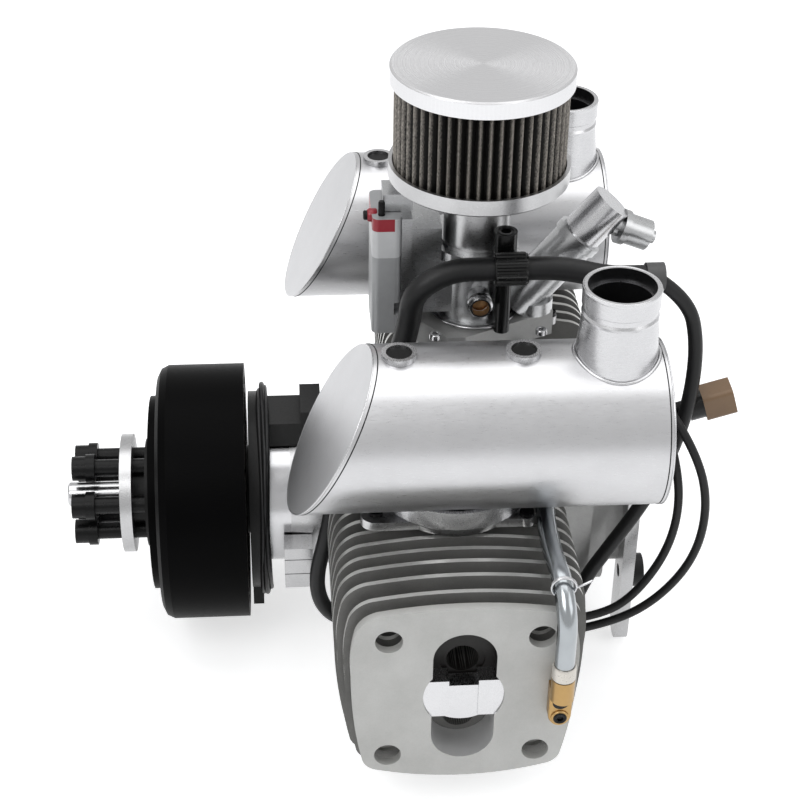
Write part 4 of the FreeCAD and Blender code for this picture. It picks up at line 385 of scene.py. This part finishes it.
# Colours are linear.
SURFACES = {
    "case_cast": dict(
        colour=(0.36, 0.36, 0.355), rough=0.5, metal=0.6,
        blotch=0.14, grain=1400, grain_depth=0.00006,
    ),
    "cover_satin": dict(
        colour=(0.46, 0.46, 0.465), rough=0.30, metal=1.0, blotch=0.06,
        grain=700, grain_depth=0.00002, stretch=(1, 6, 6),
    ),
    "polished": dict(
        colour=(0.50, 0.50, 0.51), rough=0.14, metal=1.0, blotch=0.03,
        grain=500, grain_depth=0.00001, stretch=(1, 8, 8),
    ),
    "insert_bright": dict(
        colour=(0.55, 0.55, 0.56), rough=0.26, metal=1.0, blotch=0.03,
        grain=600, grain_depth=0.00001, stretch=(6, 1, 6),
    ),
    "steel_bright": dict(
        colour=(0.50, 0.50, 0.51), rough=0.20, metal=1.0, blotch=0.05,
        grain=600, grain_depth=0.00001, stretch=(1, 8, 8),
    ),
    "steel_dark": dict(
        colour=(0.004, 0.004, 0.0042), rough=0.3, metal=0.0, blotch=0.1,
        grain=600, grain_depth=0.00002, spec=0.16,
    ),
    "muffler_satin": dict(
        colour=(0.52, 0.52, 0.53), rough=0.32, metal=1.0, blotch=0.03,
        grain=260, grain_depth=0.00001, stretch=(1, 14, 14),
    ),
    "stack_satin": dict(
        colour=(0.54, 0.54, 0.55), rough=0.28, metal=1.0, blotch=0.03,
        grain=300, grain_depth=0.00001, stretch=(1, 1, 12),
    ),
    "liner_dark": dict(colour=(0.05, 0.05, 0.052), rough=0.34, metal=0.9),
    "plug_black": dict(colour=(0.004, 0.004, 0.004), rough=0.45, spec=0.2),
    "bracket_black": dict(colour=(0.005, 0.005, 0.005), rough=0.4, spec=0.2),
    "throttle_satin": dict(
        colour=(0.46, 0.465, 0.47), rough=0.30, metal=1.0, blotch=0.06,
        grain=700, grain_depth=0.00002, stretch=(1, 1, 8),
    ),
    "servo_grey": dict(colour=(0.33, 0.335, 0.34), rough=0.42, metal=0.2),
    "servo_white": dict(colour=(0.55, 0.555, 0.56), rough=0.4, metal=0.1),
    "servo_red": dict(colour=(0.28, 0.008, 0.02), rough=0.35),
    "copper_core": dict(colour=(0.22, 0.12, 0.05), rough=0.35, metal=0.8),
    "post_black": dict(colour=(0.003, 0.003, 0.003), rough=0.22, spec=0.3),
    "clamp_black": dict(colour=(0.004, 0.004, 0.004), rough=0.3, spec=0.3),
    "hose_rubber": dict(colour=(0.010, 0.010, 0.0105), rough=0.42, spec=0.28),
    "joiner_grey": dict(colour=(0.06, 0.06, 0.06), rough=0.5),
    "cap_brown": dict(colour=(0.19, 0.115, 0.06), rough=0.42),
    "conduit_steel": dict(
        colour=(0.34, 0.36, 0.375), rough=0.2, metal=1.0, blotch=0.08,
        grain=500, grain_depth=0.00001, stretch=(8, 1, 8),
    ),
    "lug_brass": dict(
        colour=(0.40, 0.26, 0.11), rough=0.36, metal=1.0,
        blotch=0.06, grain=700, grain_depth=0.00001,
    ),
    "rotor_black": dict(
        colour=(0.0012, 0.0012, 0.0013), rough=0.4, metal=0.0, blotch=0.1,
        grain=500, grain_depth=0.00002, stretch=(1, 10, 10), spec=0.03,
    ),
    "stator_iron": dict(colour=(0.03, 0.028, 0.026), rough=0.5, metal=0.5),
    "box_black": dict(colour=(0.006, 0.006, 0.006), rough=0.4, spec=0.3),
    "piston_alloy": dict(colour=(0.55, 0.55, 0.55), rough=0.32, metal=1.0),
    # painted highlight on the lower well walls; the plug seat rings use it as their own bright
    # metal
    "well_highlight_and_seat_bright": dict(
        colour=(0.75, 0.75, 0.75), rough=0.35, metal=0.6,
        blotch=0.04, grain=600, grain_depth=0.00001,
    ),
    # painted shade: near black for the upper wells and the lug slot
    "well_and_slot_painted_shade": dict(
        colour=(0.012, 0.011, 0.010), rough=0.4, metal=0.2, blotch=0.1,
        grain=900, grain_depth=0.00002, spec=0.3,
    ),
    # painted shade: a darker colour for the faces down between the fins
    "fin_gap_painted_shade": dict(
        colour=(0.17, 0.168, 0.16), rough=0.6, metal=0.3,
        blotch=0.15, grain=1600, grain_depth=0.00008,
    ),
    # painted highlight: a lighter colour for the outer edges of the fins
    "fin_edge_painted_highlight": dict(
        colour=(0.56, 0.56, 0.54), rough=0.38, metal=0.7,
        blotch=0.06, grain=900, grain_depth=0.00003,
    ),
    "pearl": dict(
        colour=(0.60, 0.57, 0.52), rough=0.3, metal=0.5,
        blotch=0.05, grain=700, grain_depth=0.00001,
    ),
    "seam_dark": dict(colour=(0.015, 0.015, 0.016), rough=0.5, spec=0.2),
}
M = {name: surface(name, **look) for name, look in SURFACES.items()}
M["lid"] = lid_surface()
M["fin_cast"] = fin_surface()
M["filter_mesh"] = pleat_surface()

slots = {part["node"]: part["material_slot"] for part in frame["record"]["subparts"]}
FINISH = {
    "filter_lid": "lid",
    "prop_hub": "bracket_black",
    "prop_bolts": "steel_dark",
    "sensor_box": "box_black",
    "nose_ring": "steel_bright",
}
for node, obj in frame["nodes"].items():
    obj.data.materials.clear()
    obj.data.materials.append(M[FINISH.get(node, slots[node])])
    for face in obj.data.polygons:
        face.use_smooth = True
    obj.data.set_sharp_from_angle(angle=math.radians(28))
for obj in leads:
    obj.data.materials.append(M["hose_rubber"])


def paint(node, finish, chosen):
    """Gives the faces of a node that chosen(middle, normal) picks another finish.

    The middle is in millimetres from the crankcase centre."""
    data = frame["nodes"][node].data
    data.materials.append(M[finish])
    slot = len(data.materials) - 1
    for face in data.polygons:
        middle = (face.center - at(0, 0, 0)) / MM
        if chosen(middle, face.normal):
            face.material_index = slot


def plug_rim(middle, normal):
    places = [(shift + x, y) for shift, y in MUFFLERS for x in PLUGS_X]
    return min(math.hypot(middle.x - x, middle.y - y) for x, y in places) >= 5.32


paint("muffler_plugs", "insert_bright", plug_rim)


def stack_inside(middle, normal):
    for shift, y in MUFFLERS:
        away = Vector((middle.x - shift - STACK_X, middle.y - y, 0.0))
        facing_in = away.length < 14.9 or normal.dot(away) < 0.0
        if away.length < 15.2 and facing_in and abs(normal.z) < 0.5:
            return True
    return False


paint("outlet_stacks", "liner_dark", stack_inside)
paint("servo_trim", "servo_grey", lambda middle, normal: normal.z > 0.6)
paint(
    "servo_trim",
    "servo_white",
    lambda middle, normal: middle.x > -38.0 and abs(normal.z) < 0.6,
)
paint(
    "port_sensor",
    "steel_bright",
    lambda middle, normal: math.hypot(middle.x, middle.z - SENSOR_Z) > 3.86,
)
paint("rear_connector", "plug_black", lambda middle, normal: middle.x < 97.0)
paint("rear_connector", "clamp_black", lambda middle, normal: 97.0 <= middle.x < 103.5)


def in_well(middle, low_z, high_z):
    side = -1 if middle.y < 0 else 1
    across = abs(middle.x - side * STAGGER) < 14.0
    return across and low_z < middle.z < high_z and 131.0 < abs(middle.y) < 150.1


# picks the lower well walls, which get painted highlight
def painted_highlight_well_wall(middle, normal):
    return in_well(middle, -35.5, -4.0) and abs(normal.y) < 0.5


# picks the upper part of each well, which gets painted shade
def painted_shade_upper_well(middle, normal):
    return in_well(middle, -4.0, 35.5)


# picks the faces down between the fins, which get painted shade
def painted_shade_between_fins(middle, normal):
    depth = HEAD_FACE - abs(middle.y)
    in_gap = abs(normal.y) > 0.7 or depth % FIN_PITCH > 2.4
    return FINS_DEPTH[0] < depth < FINS_DEPTH[1] and in_gap


# picks the outer edges of the fins, which get painted highlight
def fin_edge_painted_highlight(middle, normal):
    depth = HEAD_FACE - abs(middle.y)
    on_edge = abs(normal.y) < 0.6 and depth % FIN_PITCH < 2.3
    return FINS_DEPTH[0] < depth < FINS_DEPTH[1] and on_edge


# painted shade between the fins, painted highlight on the fin edges and the lower well walls,
# painted shade in the upper wells
for word in ("near", "far"):
    paint(word + "_cylinder", "fin_gap_painted_shade", painted_shade_between_fins)
    paint(word + "_cylinder", "fin_edge_painted_highlight", fin_edge_painted_highlight)
    paint(word + "_cylinder", "well_highlight_and_seat_bright", painted_highlight_well_wall)
    paint(word + "_cylinder", "well_and_slot_painted_shade", painted_shade_upper_well)


# ---- mesh helpers for the small pieces ----


def new_piece(name, shape, finish, slot_name=None, sharp=35):
    """Makes a smooth-shaded piece from a bmesh and lets it ride on the engine."""
    data = bpy.data.meshes.new(name)
    bmesh.ops.recalc_face_normals(shape, faces=shape.faces)
    shape.to_mesh(data)
    shape.free()
    obj = bpy.data.objects.new(name, data)
    scene.collection.objects.link(obj)
    data.materials.append(M[finish])
    for face in data.polygons:
        face.use_smooth = True
    data.set_sharp_from_angle(angle=math.radians(sharp))
    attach(obj, "engine")
    return obj


def bridge(shape, one, two):
    """Joins two rings of equally many points with a band of faces."""
    for i in range(len(one)):
        j = (i + 1) % len(one)
        shape.faces.new((one[i], one[j], two[j], two[i]))


def frame_of(direction):
    """Two directions square to the given one, and itself."""
    ahead = Vector(direction).normalized()
    other = Vector((0, 0, 1)) if abs(ahead.z) < 0.9 else Vector((0, 1, 0))
    across = ahead.cross(other).normalized()
    return across, ahead.cross(across).normalized(), ahead


def lathe_into(shape, profile, place, direction, steps=40, closed=False):
    """Adds a turned form: radii and heights in mm along a direction from a place."""
    across, over, ahead = frame_of(direction)
    centre = at(*place)
    rows = []
    for radius, height in profile:
        if radius < 1e-6:
            rows.append([shape.verts.new(centre + ahead * height * MM)])
            continue
        row = []
        for i in range(steps):
            angle = 2 * math.pi * i / steps
            reach = (across * math.cos(angle) + over * math.sin(angle)) * radius
            row.append(shape.verts.new(centre + (reach + ahead * height) * MM))
        rows.append(row)
    pairs = list(zip(rows, rows[1:]))
    if closed:
        pairs.append((rows[-1], rows[0]))
    for low_row, high_row in pairs:
        for i in range(steps):
            j = (i + 1) % steps
            ring = [low_row[i % len(low_row)], low_row[j % len(low_row)]]
            ring += [high_row[j % len(high_row)], high_row[i % len(high_row)]]
            corners = []
            for corner in ring:
                if corner not in corners:
                    corners.append(corner)
            if len(corners) > 2:
                shape.faces.new(corners)


def lathe(name, profile, place, direction, finish, steps=40, closed=False, **ways):
    shape = bmesh.new()
    lathe_into(shape, profile, place, direction, steps, closed)
    return new_piece(name, shape, finish, **ways)


def loop(name, points, radius, finish, closed=True, sides=8, **ways):
    """A round bead that follows a line of points, in mm."""
    shape = bmesh.new()
    spots = [at(*point) for point in points]
    rows = []
    count = len(spots)
    for i, spot in enumerate(spots):
        before = spots[i - 1] if closed or i else spot
        after = spots[(i + 1) % count] if closed or i < count - 1 else spot
        ahead = (after - before).normalized()
        if rows:
            across = (across - ahead * across.dot(ahead)).normalized()
        else:
            across = frame_of(ahead)[0]
        over = ahead.cross(across)
        rows.append([
            shape.verts.new(spot + (across * math.cos(a) + over * math.sin(a)) * radius * MM)
            for a in (2 * math.pi * k / sides for k in range(sides))
        ])
    for i in range(count if closed else count - 1):
        one, two = rows[i], rows[(i + 1) % count]
        bridge(shape, one, two)
    if not closed:
        shape.faces.new(rows[0])
        shape.faces.new(rows[-1])
    return new_piece(name, shape, finish, sharp=60, **ways)


def socket_screw_into(shape, place, direction, radius, height):
    """Adds a cap screw with a six-sided recess."""
    across, over, ahead = frame_of(direction)
    centre = at(*place)
    steps = 24
    edge = radius * 0.12

    def row(reach, rise, six_sided=False):
        ring = []
        for i in range(steps):
            angle = 2 * math.pi * i / steps
            away = reach
            if six_sided:
                third = math.pi / 3
                away *= math.cos(third / 2) / math.cos((angle % third) - third / 2)
            out = across * math.cos(angle) + over * math.sin(angle)
            ring.append(shape.verts.new(centre + out * away * MM + ahead * rise * MM))
        return ring

    rows = [
        row(radius, 0.0),
        row(radius, height - edge),
        row(radius - edge, height),
        row(radius * 0.60, height),
        row(radius * 0.54, height - edge * 0.5, six_sided=True),
        row(radius * 0.54, height * 0.35, six_sided=True),
    ]
    for one, two in zip(rows, rows[1:]):
        bridge(shape, one, two)
    shape.faces.new(rows[-1])
    shape.faces.new(rows[0])


def socket_screws(name, places, direction, radius, height, finish, **ways):
    shape = bmesh.new()
    for place in places:
        socket_screw_into(shape, place, direction, radius, height)
    return new_piece(name, shape, finish, **ways)


# ---- mufflers: seams, rims and weld beads ----

turns = [2 * math.pi * i / 96 for i in range(96)]
WELD_R = 17.7  # round the foot of each stack
for word, (shift, across_y) in zip(("near", "far"), MUFFLERS):

    def ring_at(x, radius, rake=0.0):
        return [
            (
                shift + x + rake * radius * math.sin(a),
                across_y + radius * math.cos(a),
                MUFFLER_Z + radius * math.sin(a),
            )
            for a in turns
        ]

    rear_seam = ring_at(66.9, 34.95)
    front_seam = ring_at(-67.0, 34.95, MUFFLER_RAKE)
    loop(word + "_rear_seam", rear_seam, 0.28, "seam_dark", slot_name="plug_black")
    loop(word + "_rear_rim", ring_at(68.5, 34.8), 0.45, "insert_bright")
    loop(word + "_front_seam", front_seam, 0.28, "seam_dark", slot_name="plug_black")
    loop(word + "_front_rim", ring_at(-68.9, 34.75, MUFFLER_RAKE), 0.42, "insert_bright")
    foot = [
        (
            shift + STACK_X + WELD_R * math.cos(a),
            across_y + WELD_R * math.sin(a),
            MUFFLER_Z + math.sqrt(MUFFLER_R**2 - (WELD_R * math.sin(a)) ** 2),
        )
        for a in turns
    ]
    loop(word + "_stack_weld", foot, 0.75, "stack_satin")
    lathe(
        word + "_stack_lip",
        [
            (15.95, 158.9),
            (16.15, 159.6),
            (16.0, 160.3),
            (15.4, 160.6),
            (14.6, 160.4),
            (14.5, 159.6),
        ],
        (shift + STACK_X, across_y, 0),
        (0, 0, 1),
        "insert_bright",
        steps=64,
        closed=True,
    )

# ---- hose clamp: ribbed grip round the hose ----

shape = bmesh.new()
RIBS = 16
GRIP_START, GRIP_END = 5.2, 18.8
outline = []  # six steps to a rib: an angle and a radius each
for i in range(RIBS * 6):
    outline.append((2 * math.pi * i / (RIBS * 6), 7.35 if i % 6 in (1, 2, 3) else 6.75))


def grip_ring(x, radii):
    """A ring of points round the hose, at a place along it."""
    return [
        shape.verts.new(at(x, HOSE[0] + r * math.cos(a), HOSE[1] + r * math.sin(a)))
        for (a, _), r in zip(outline, radii)
    ]


ends = ((GRIP_START, 0.5), (GRIP_START + 0.6, 0.0), (GRIP_END - 0.6, 0.0), (GRIP_END, 0.5))
rings = [grip_ring(x, [r - less for _, r in outline]) for x, less in ends]
rings += [grip_ring(x, [5.5] * len(outline)) for x in (GRIP_END, GRIP_START)]
for one, two in zip(rings, rings[1:] + rings[:1]):
    bridge(shape, one, two)
new_piece("clamp_grip", shape, "clamp_black", sharp=30)
socket_screws("post_screw", [(10.5, -19, 145.2)], (0, 0, 1), 4.4, 3.0, "post_black")

# ---- port sensor: knurled bright ring round a slotted copper core ----

shape = bmesh.new()
knurl = [
    (3.9, 0.0),
    (5.4, 0.0),
    (5.6, 0.4),
    (5.2, 0.9),
    (5.6, 1.5),
    (5.2, 2.1),
    (5.6, 2.7),
    (5.5, 3.4),
    (4.6, 4.5),
    (3.95, 4.5),
]
lathe_into(shape, knurl, (0, -22, SENSOR_Z), (0, -1, 0), 48, True)
new_piece("sensor_ring", shape, "steel_bright", sharp=25)
seal = [(4.25 * math.cos(a), -26.45, SENSOR_Z + 4.25 * math.sin(a)) for a in turns]
loop("sensor_seal", seal, 0.35, "plug_black")

# ---- throttle body: screws and edge lines ----

throttle_screws = [(-19.5, -24.5, 98.0), (28.0, -23.0, 98.0)]
socket_screws("throttle_screws", throttle_screws, (0, 0, 1), 2.6, 2.4, "steel_bright")
THROTTLE_EDGE_R = 19.4
for level in (99.3, 124.8):
    edge = [(THROTTLE_EDGE_R * math.cos(a), THROTTLE_EDGE_R * math.sin(a), level) for a in turns]
    loop("throttle_edge_%d" % int(level), edge, 0.5, "polished")

# ---- sender: wire clip round the tube, slotted lug and its screw ----

clip = []
for i in range(64):  # two turns of wire, then its free end
    angle = 2 * math.pi * i / 64 * 2.0
    clip.append((22.9 + 5.0 * math.cos(angle), -148.5 + i * 0.02, 55.3 + 5.0 * math.sin(angle)))
clip += [(31.0, -148.0, 56.5), (34.5, -147.5, 58.0)]
loop("sender_clip", clip, 0.55, "steel_bright", closed=False)
lathe(
    "sender_ferrule",
    [(4.3, 15.2), (5.0, 15.6), (5.0, 21.2), (4.6, 22.0), (4.25, 22.0), (4.25, 15.2)],
    (*LUG, 0),
    (0, 0, 1),
    "pearl",
    closed=True,
    slot_name="lug_brass",
)
shape = bmesh.new()
barrel = [(0, 3.0), (4.4, 3.0), (4.9, 3.6), (4.9, 15.0), (4.3, 15.0), (0, 14.6)]
lathe_into(shape, barrel, (*LUG, 0), (0, 0, 1))
half_turn = [math.pi * i / 16 for i in range(17)]
tip = [(4.8, -5.0), (4.8, 8.0), (-4.8, 8.0), (-4.8, -5.0)]
tip += [(-4.8 * math.cos(a), -8.0 - 4.8 * math.sin(a)) for a in half_turn]
rows = [
    [shape.verts.new(at(LUG[0] + u, y, v)) for u, v in tip] for y in (-150.6, -155.2, -155.7)
]
for vert, (u, _) in zip(rows[2], tip):  # a broken edge on the outer face
    vert.co.x -= u * 0.09 * MM
for one, two in zip(rows, rows[1:]):
    bridge(shape, one, two)
shape.faces.new(rows[0])
shape.faces.new(rows[-1])
lug = new_piece("sender_lug_body", shape, "lug_brass")
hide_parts("sender_lug")
lathe(
    "lug_washer",
    [(2.0, 0.0), (3.6, 0.0), (3.7, 0.5), (3.3, 0.9), (2.0, 0.9)],
    (LUG[0], -155.7, -8.2),
    (0, -1, 0),
    "lug_brass",
    closed=True,
)
socket_screws("lug_screw", [(LUG[0], -155.6, -8.2)], (0, -1, 0), 2.9, 1.5, "steel_dark")
# the lug slot is a thin near-black half-moon sheet on the lug's face: painted shade standing in for
# the slot's depth
shape = bmesh.new()
moon = [(3.4 * math.cos(a), -0.2 - 3.4 * math.sin(a)) for a in half_turn]
rows = [[shape.verts.new(at(LUG[0] + u, y, v)) for u, v in moon] for y in (-155.6, -155.95)]
bridge(shape, rows[0], rows[1])
shape.faces.new(rows[0])
shape.faces.new(rows[1])
new_piece("lug_slot", shape, "well_and_slot_painted_shade", slot_name="plug_black")

# ---- plug holes: bright seat rings ----

for side, word in ((-1, "near"), (1, "far")):
    lathe(
        word + "_plug_seat",
        [(6.85, 0.0), (8.6, 0.0), (8.8, 0.4), (8.2, 0.9), (7.4, 0.7), (6.85, 1.1)],
        (side * STAGGER, side * 138.2, 12.6),
        (0, side, 0),
        "well_highlight_and_seat_bright",
        slot_name="insert_bright",
        closed=True,
    )

# ---- generator: three wires laid round its plate, each its own X, radius and waver ----

WIRES = ((-98.4, 48.2, 1.0), (-96.9, 49.0, 1.6), (-95.6, 47.9, 1.3))
for k, (x, radius, wave) in enumerate(WIRES):
    loop(
        "stator_wire_%d" % k,
        [
            (
                x + 0.5 * math.sin(3 * a + k),
                (radius + wave * math.sin(5 * a + 2 * k)) * math.cos(a),
                (radius + wave * math.sin(5 * a + 2 * k)) * math.sin(a),
            )
            for a in turns
        ],
        1.15,
        "hose_rubber",
    )

# ---- actuator: knob, its end and a pin ----

lathe(
    "actuator_knob",
    [(0, 0), (2.6, 0.0), (3.0, 0.6), (3.0, 3.4), (2.5, 4.2), (0, 4.2)],
    (-44.6, -6.0, 150.2),
    (-1, 0, 0),
    "servo_red",
)
lathe(
    "actuator_knob_end",
    [(0, 0), (2.1, 0.0), (2.1, 1.6), (1.6, 2.0), (0, 2.0)],
    (-48.6, -6.0, 150.2),
    (-1, 0, 0),
    "plug_black",
)
lathe(
    "actuator_pin",
    [(0, 0), (1.5, 0.0), (1.5, 6.6), (1.1, 7.2), (0, 7.2)],
    (-42.8, -9.5, 151.5),
    (0, 0, 1),
    "steel_dark",
)


# ---- floor, world and lamps ----

FLOOR_GLOW = 0.62
FLOOR_REACH = 6.0
FLOOR_GAP = 0.0005
low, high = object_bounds()
floor_z = low[2] - FLOOR_GAP
corners = [(-1, -1), (1, -1), (1, 1), (-1, 1)]
mesh = bpy.data.meshes.new("floor")
mesh.from_pydata(
    [(x * FLOOR_REACH, y * FLOOR_REACH, floor_z) for x, y in corners], [], [(0, 1, 2, 3)]
)
floor = bpy.data.objects.new("floor", mesh)
scene.collection.objects.link(floor)


def shown(tree):
    """1 for rays from the camera, off gloss or through glass, and 0 for the rest."""
    path = add(tree, "ShaderNodeLightPath")
    either = add(tree, "ShaderNodeMath", operation="MAXIMUM")
    any_of = add(tree, "ShaderNodeMath", operation="MAXIMUM")
    link(tree, path.outputs["Is Camera Ray"], either.inputs[0])
    link(tree, path.outputs["Is Glossy Ray"], either.inputs[1])
    link(tree, either.outputs[0], any_of.inputs[0])
    link(tree, path.outputs["Is Transmission Ray"], any_of.inputs[1])
    return any_of.outputs[0]


floor_mat, tree, shader = new_material("floor_white")
shader.inputs["Base Color"].default_value = (0.8, 0.8, 0.8, 1.0)
shader.inputs["Roughness"].default_value = 0.9
shader.inputs["Specular IOR Level"].default_value = 0.0
shader.inputs["Emission Color"].default_value = (1.0, 1.0, 1.0, 1.0)
glow = add(tree, "ShaderNodeMath", operation="MULTIPLY")
glow.inputs[1].default_value = FLOOR_GLOW
link(tree, shown(tree), glow.inputs[0])
link(tree, glow.outputs[0], shader.inputs["Emission Strength"])
floor.data.materials.append(floor_mat)

world = bpy.data.worlds.new("world")
scene.world = world
world.use_nodes = True
tree = world.node_tree
ground = tree.nodes["Background"]
ground.inputs["Color"].default_value = (0.95, 0.97, 1.0, 1.0)
ground.inputs["Strength"].default_value = 0.42
white = add(tree, "ShaderNodeBackground")
white.inputs["Strength"].default_value = 1.0
mix = add(tree, "ShaderNodeMixShader")
link(tree, shown(tree), mix.inputs["Fac"])
link(tree, ground.outputs[0], mix.inputs[1])
link(tree, white.outputs[0], mix.inputs[2])
link(tree, mix.outputs[0], tree.nodes["World Output"].inputs["Surface"])


def area_light(name, place, size, power, size_y=None):
    """An area lamp aimed at the middle of the engine."""
    data = bpy.data.lights.new(name, "AREA")
    data.energy = power
    data.size = size
    if size_y is not None:
        data.shape = "RECTANGLE"
        data.size_y = size_y
    lamp = bpy.data.objects.new(name, data)
    lamp.location = place
    lamp.rotation_euler = (AIM - Vector(place)).to_track_quat("-Z", "Y").to_euler()
    scene.collection.objects.link(lamp)


AIM = Vector((-0.12, 0.0, 0.08))
area_light("key", (-0.8, -0.9, 1.2), 0.8, 8.0)
area_light("fill", (1.0, -0.8, 0.9), 0.9, 4.0)
area_light("top", (-0.1, 0.15, 1.4), 1.8, 12.0, 1.3)
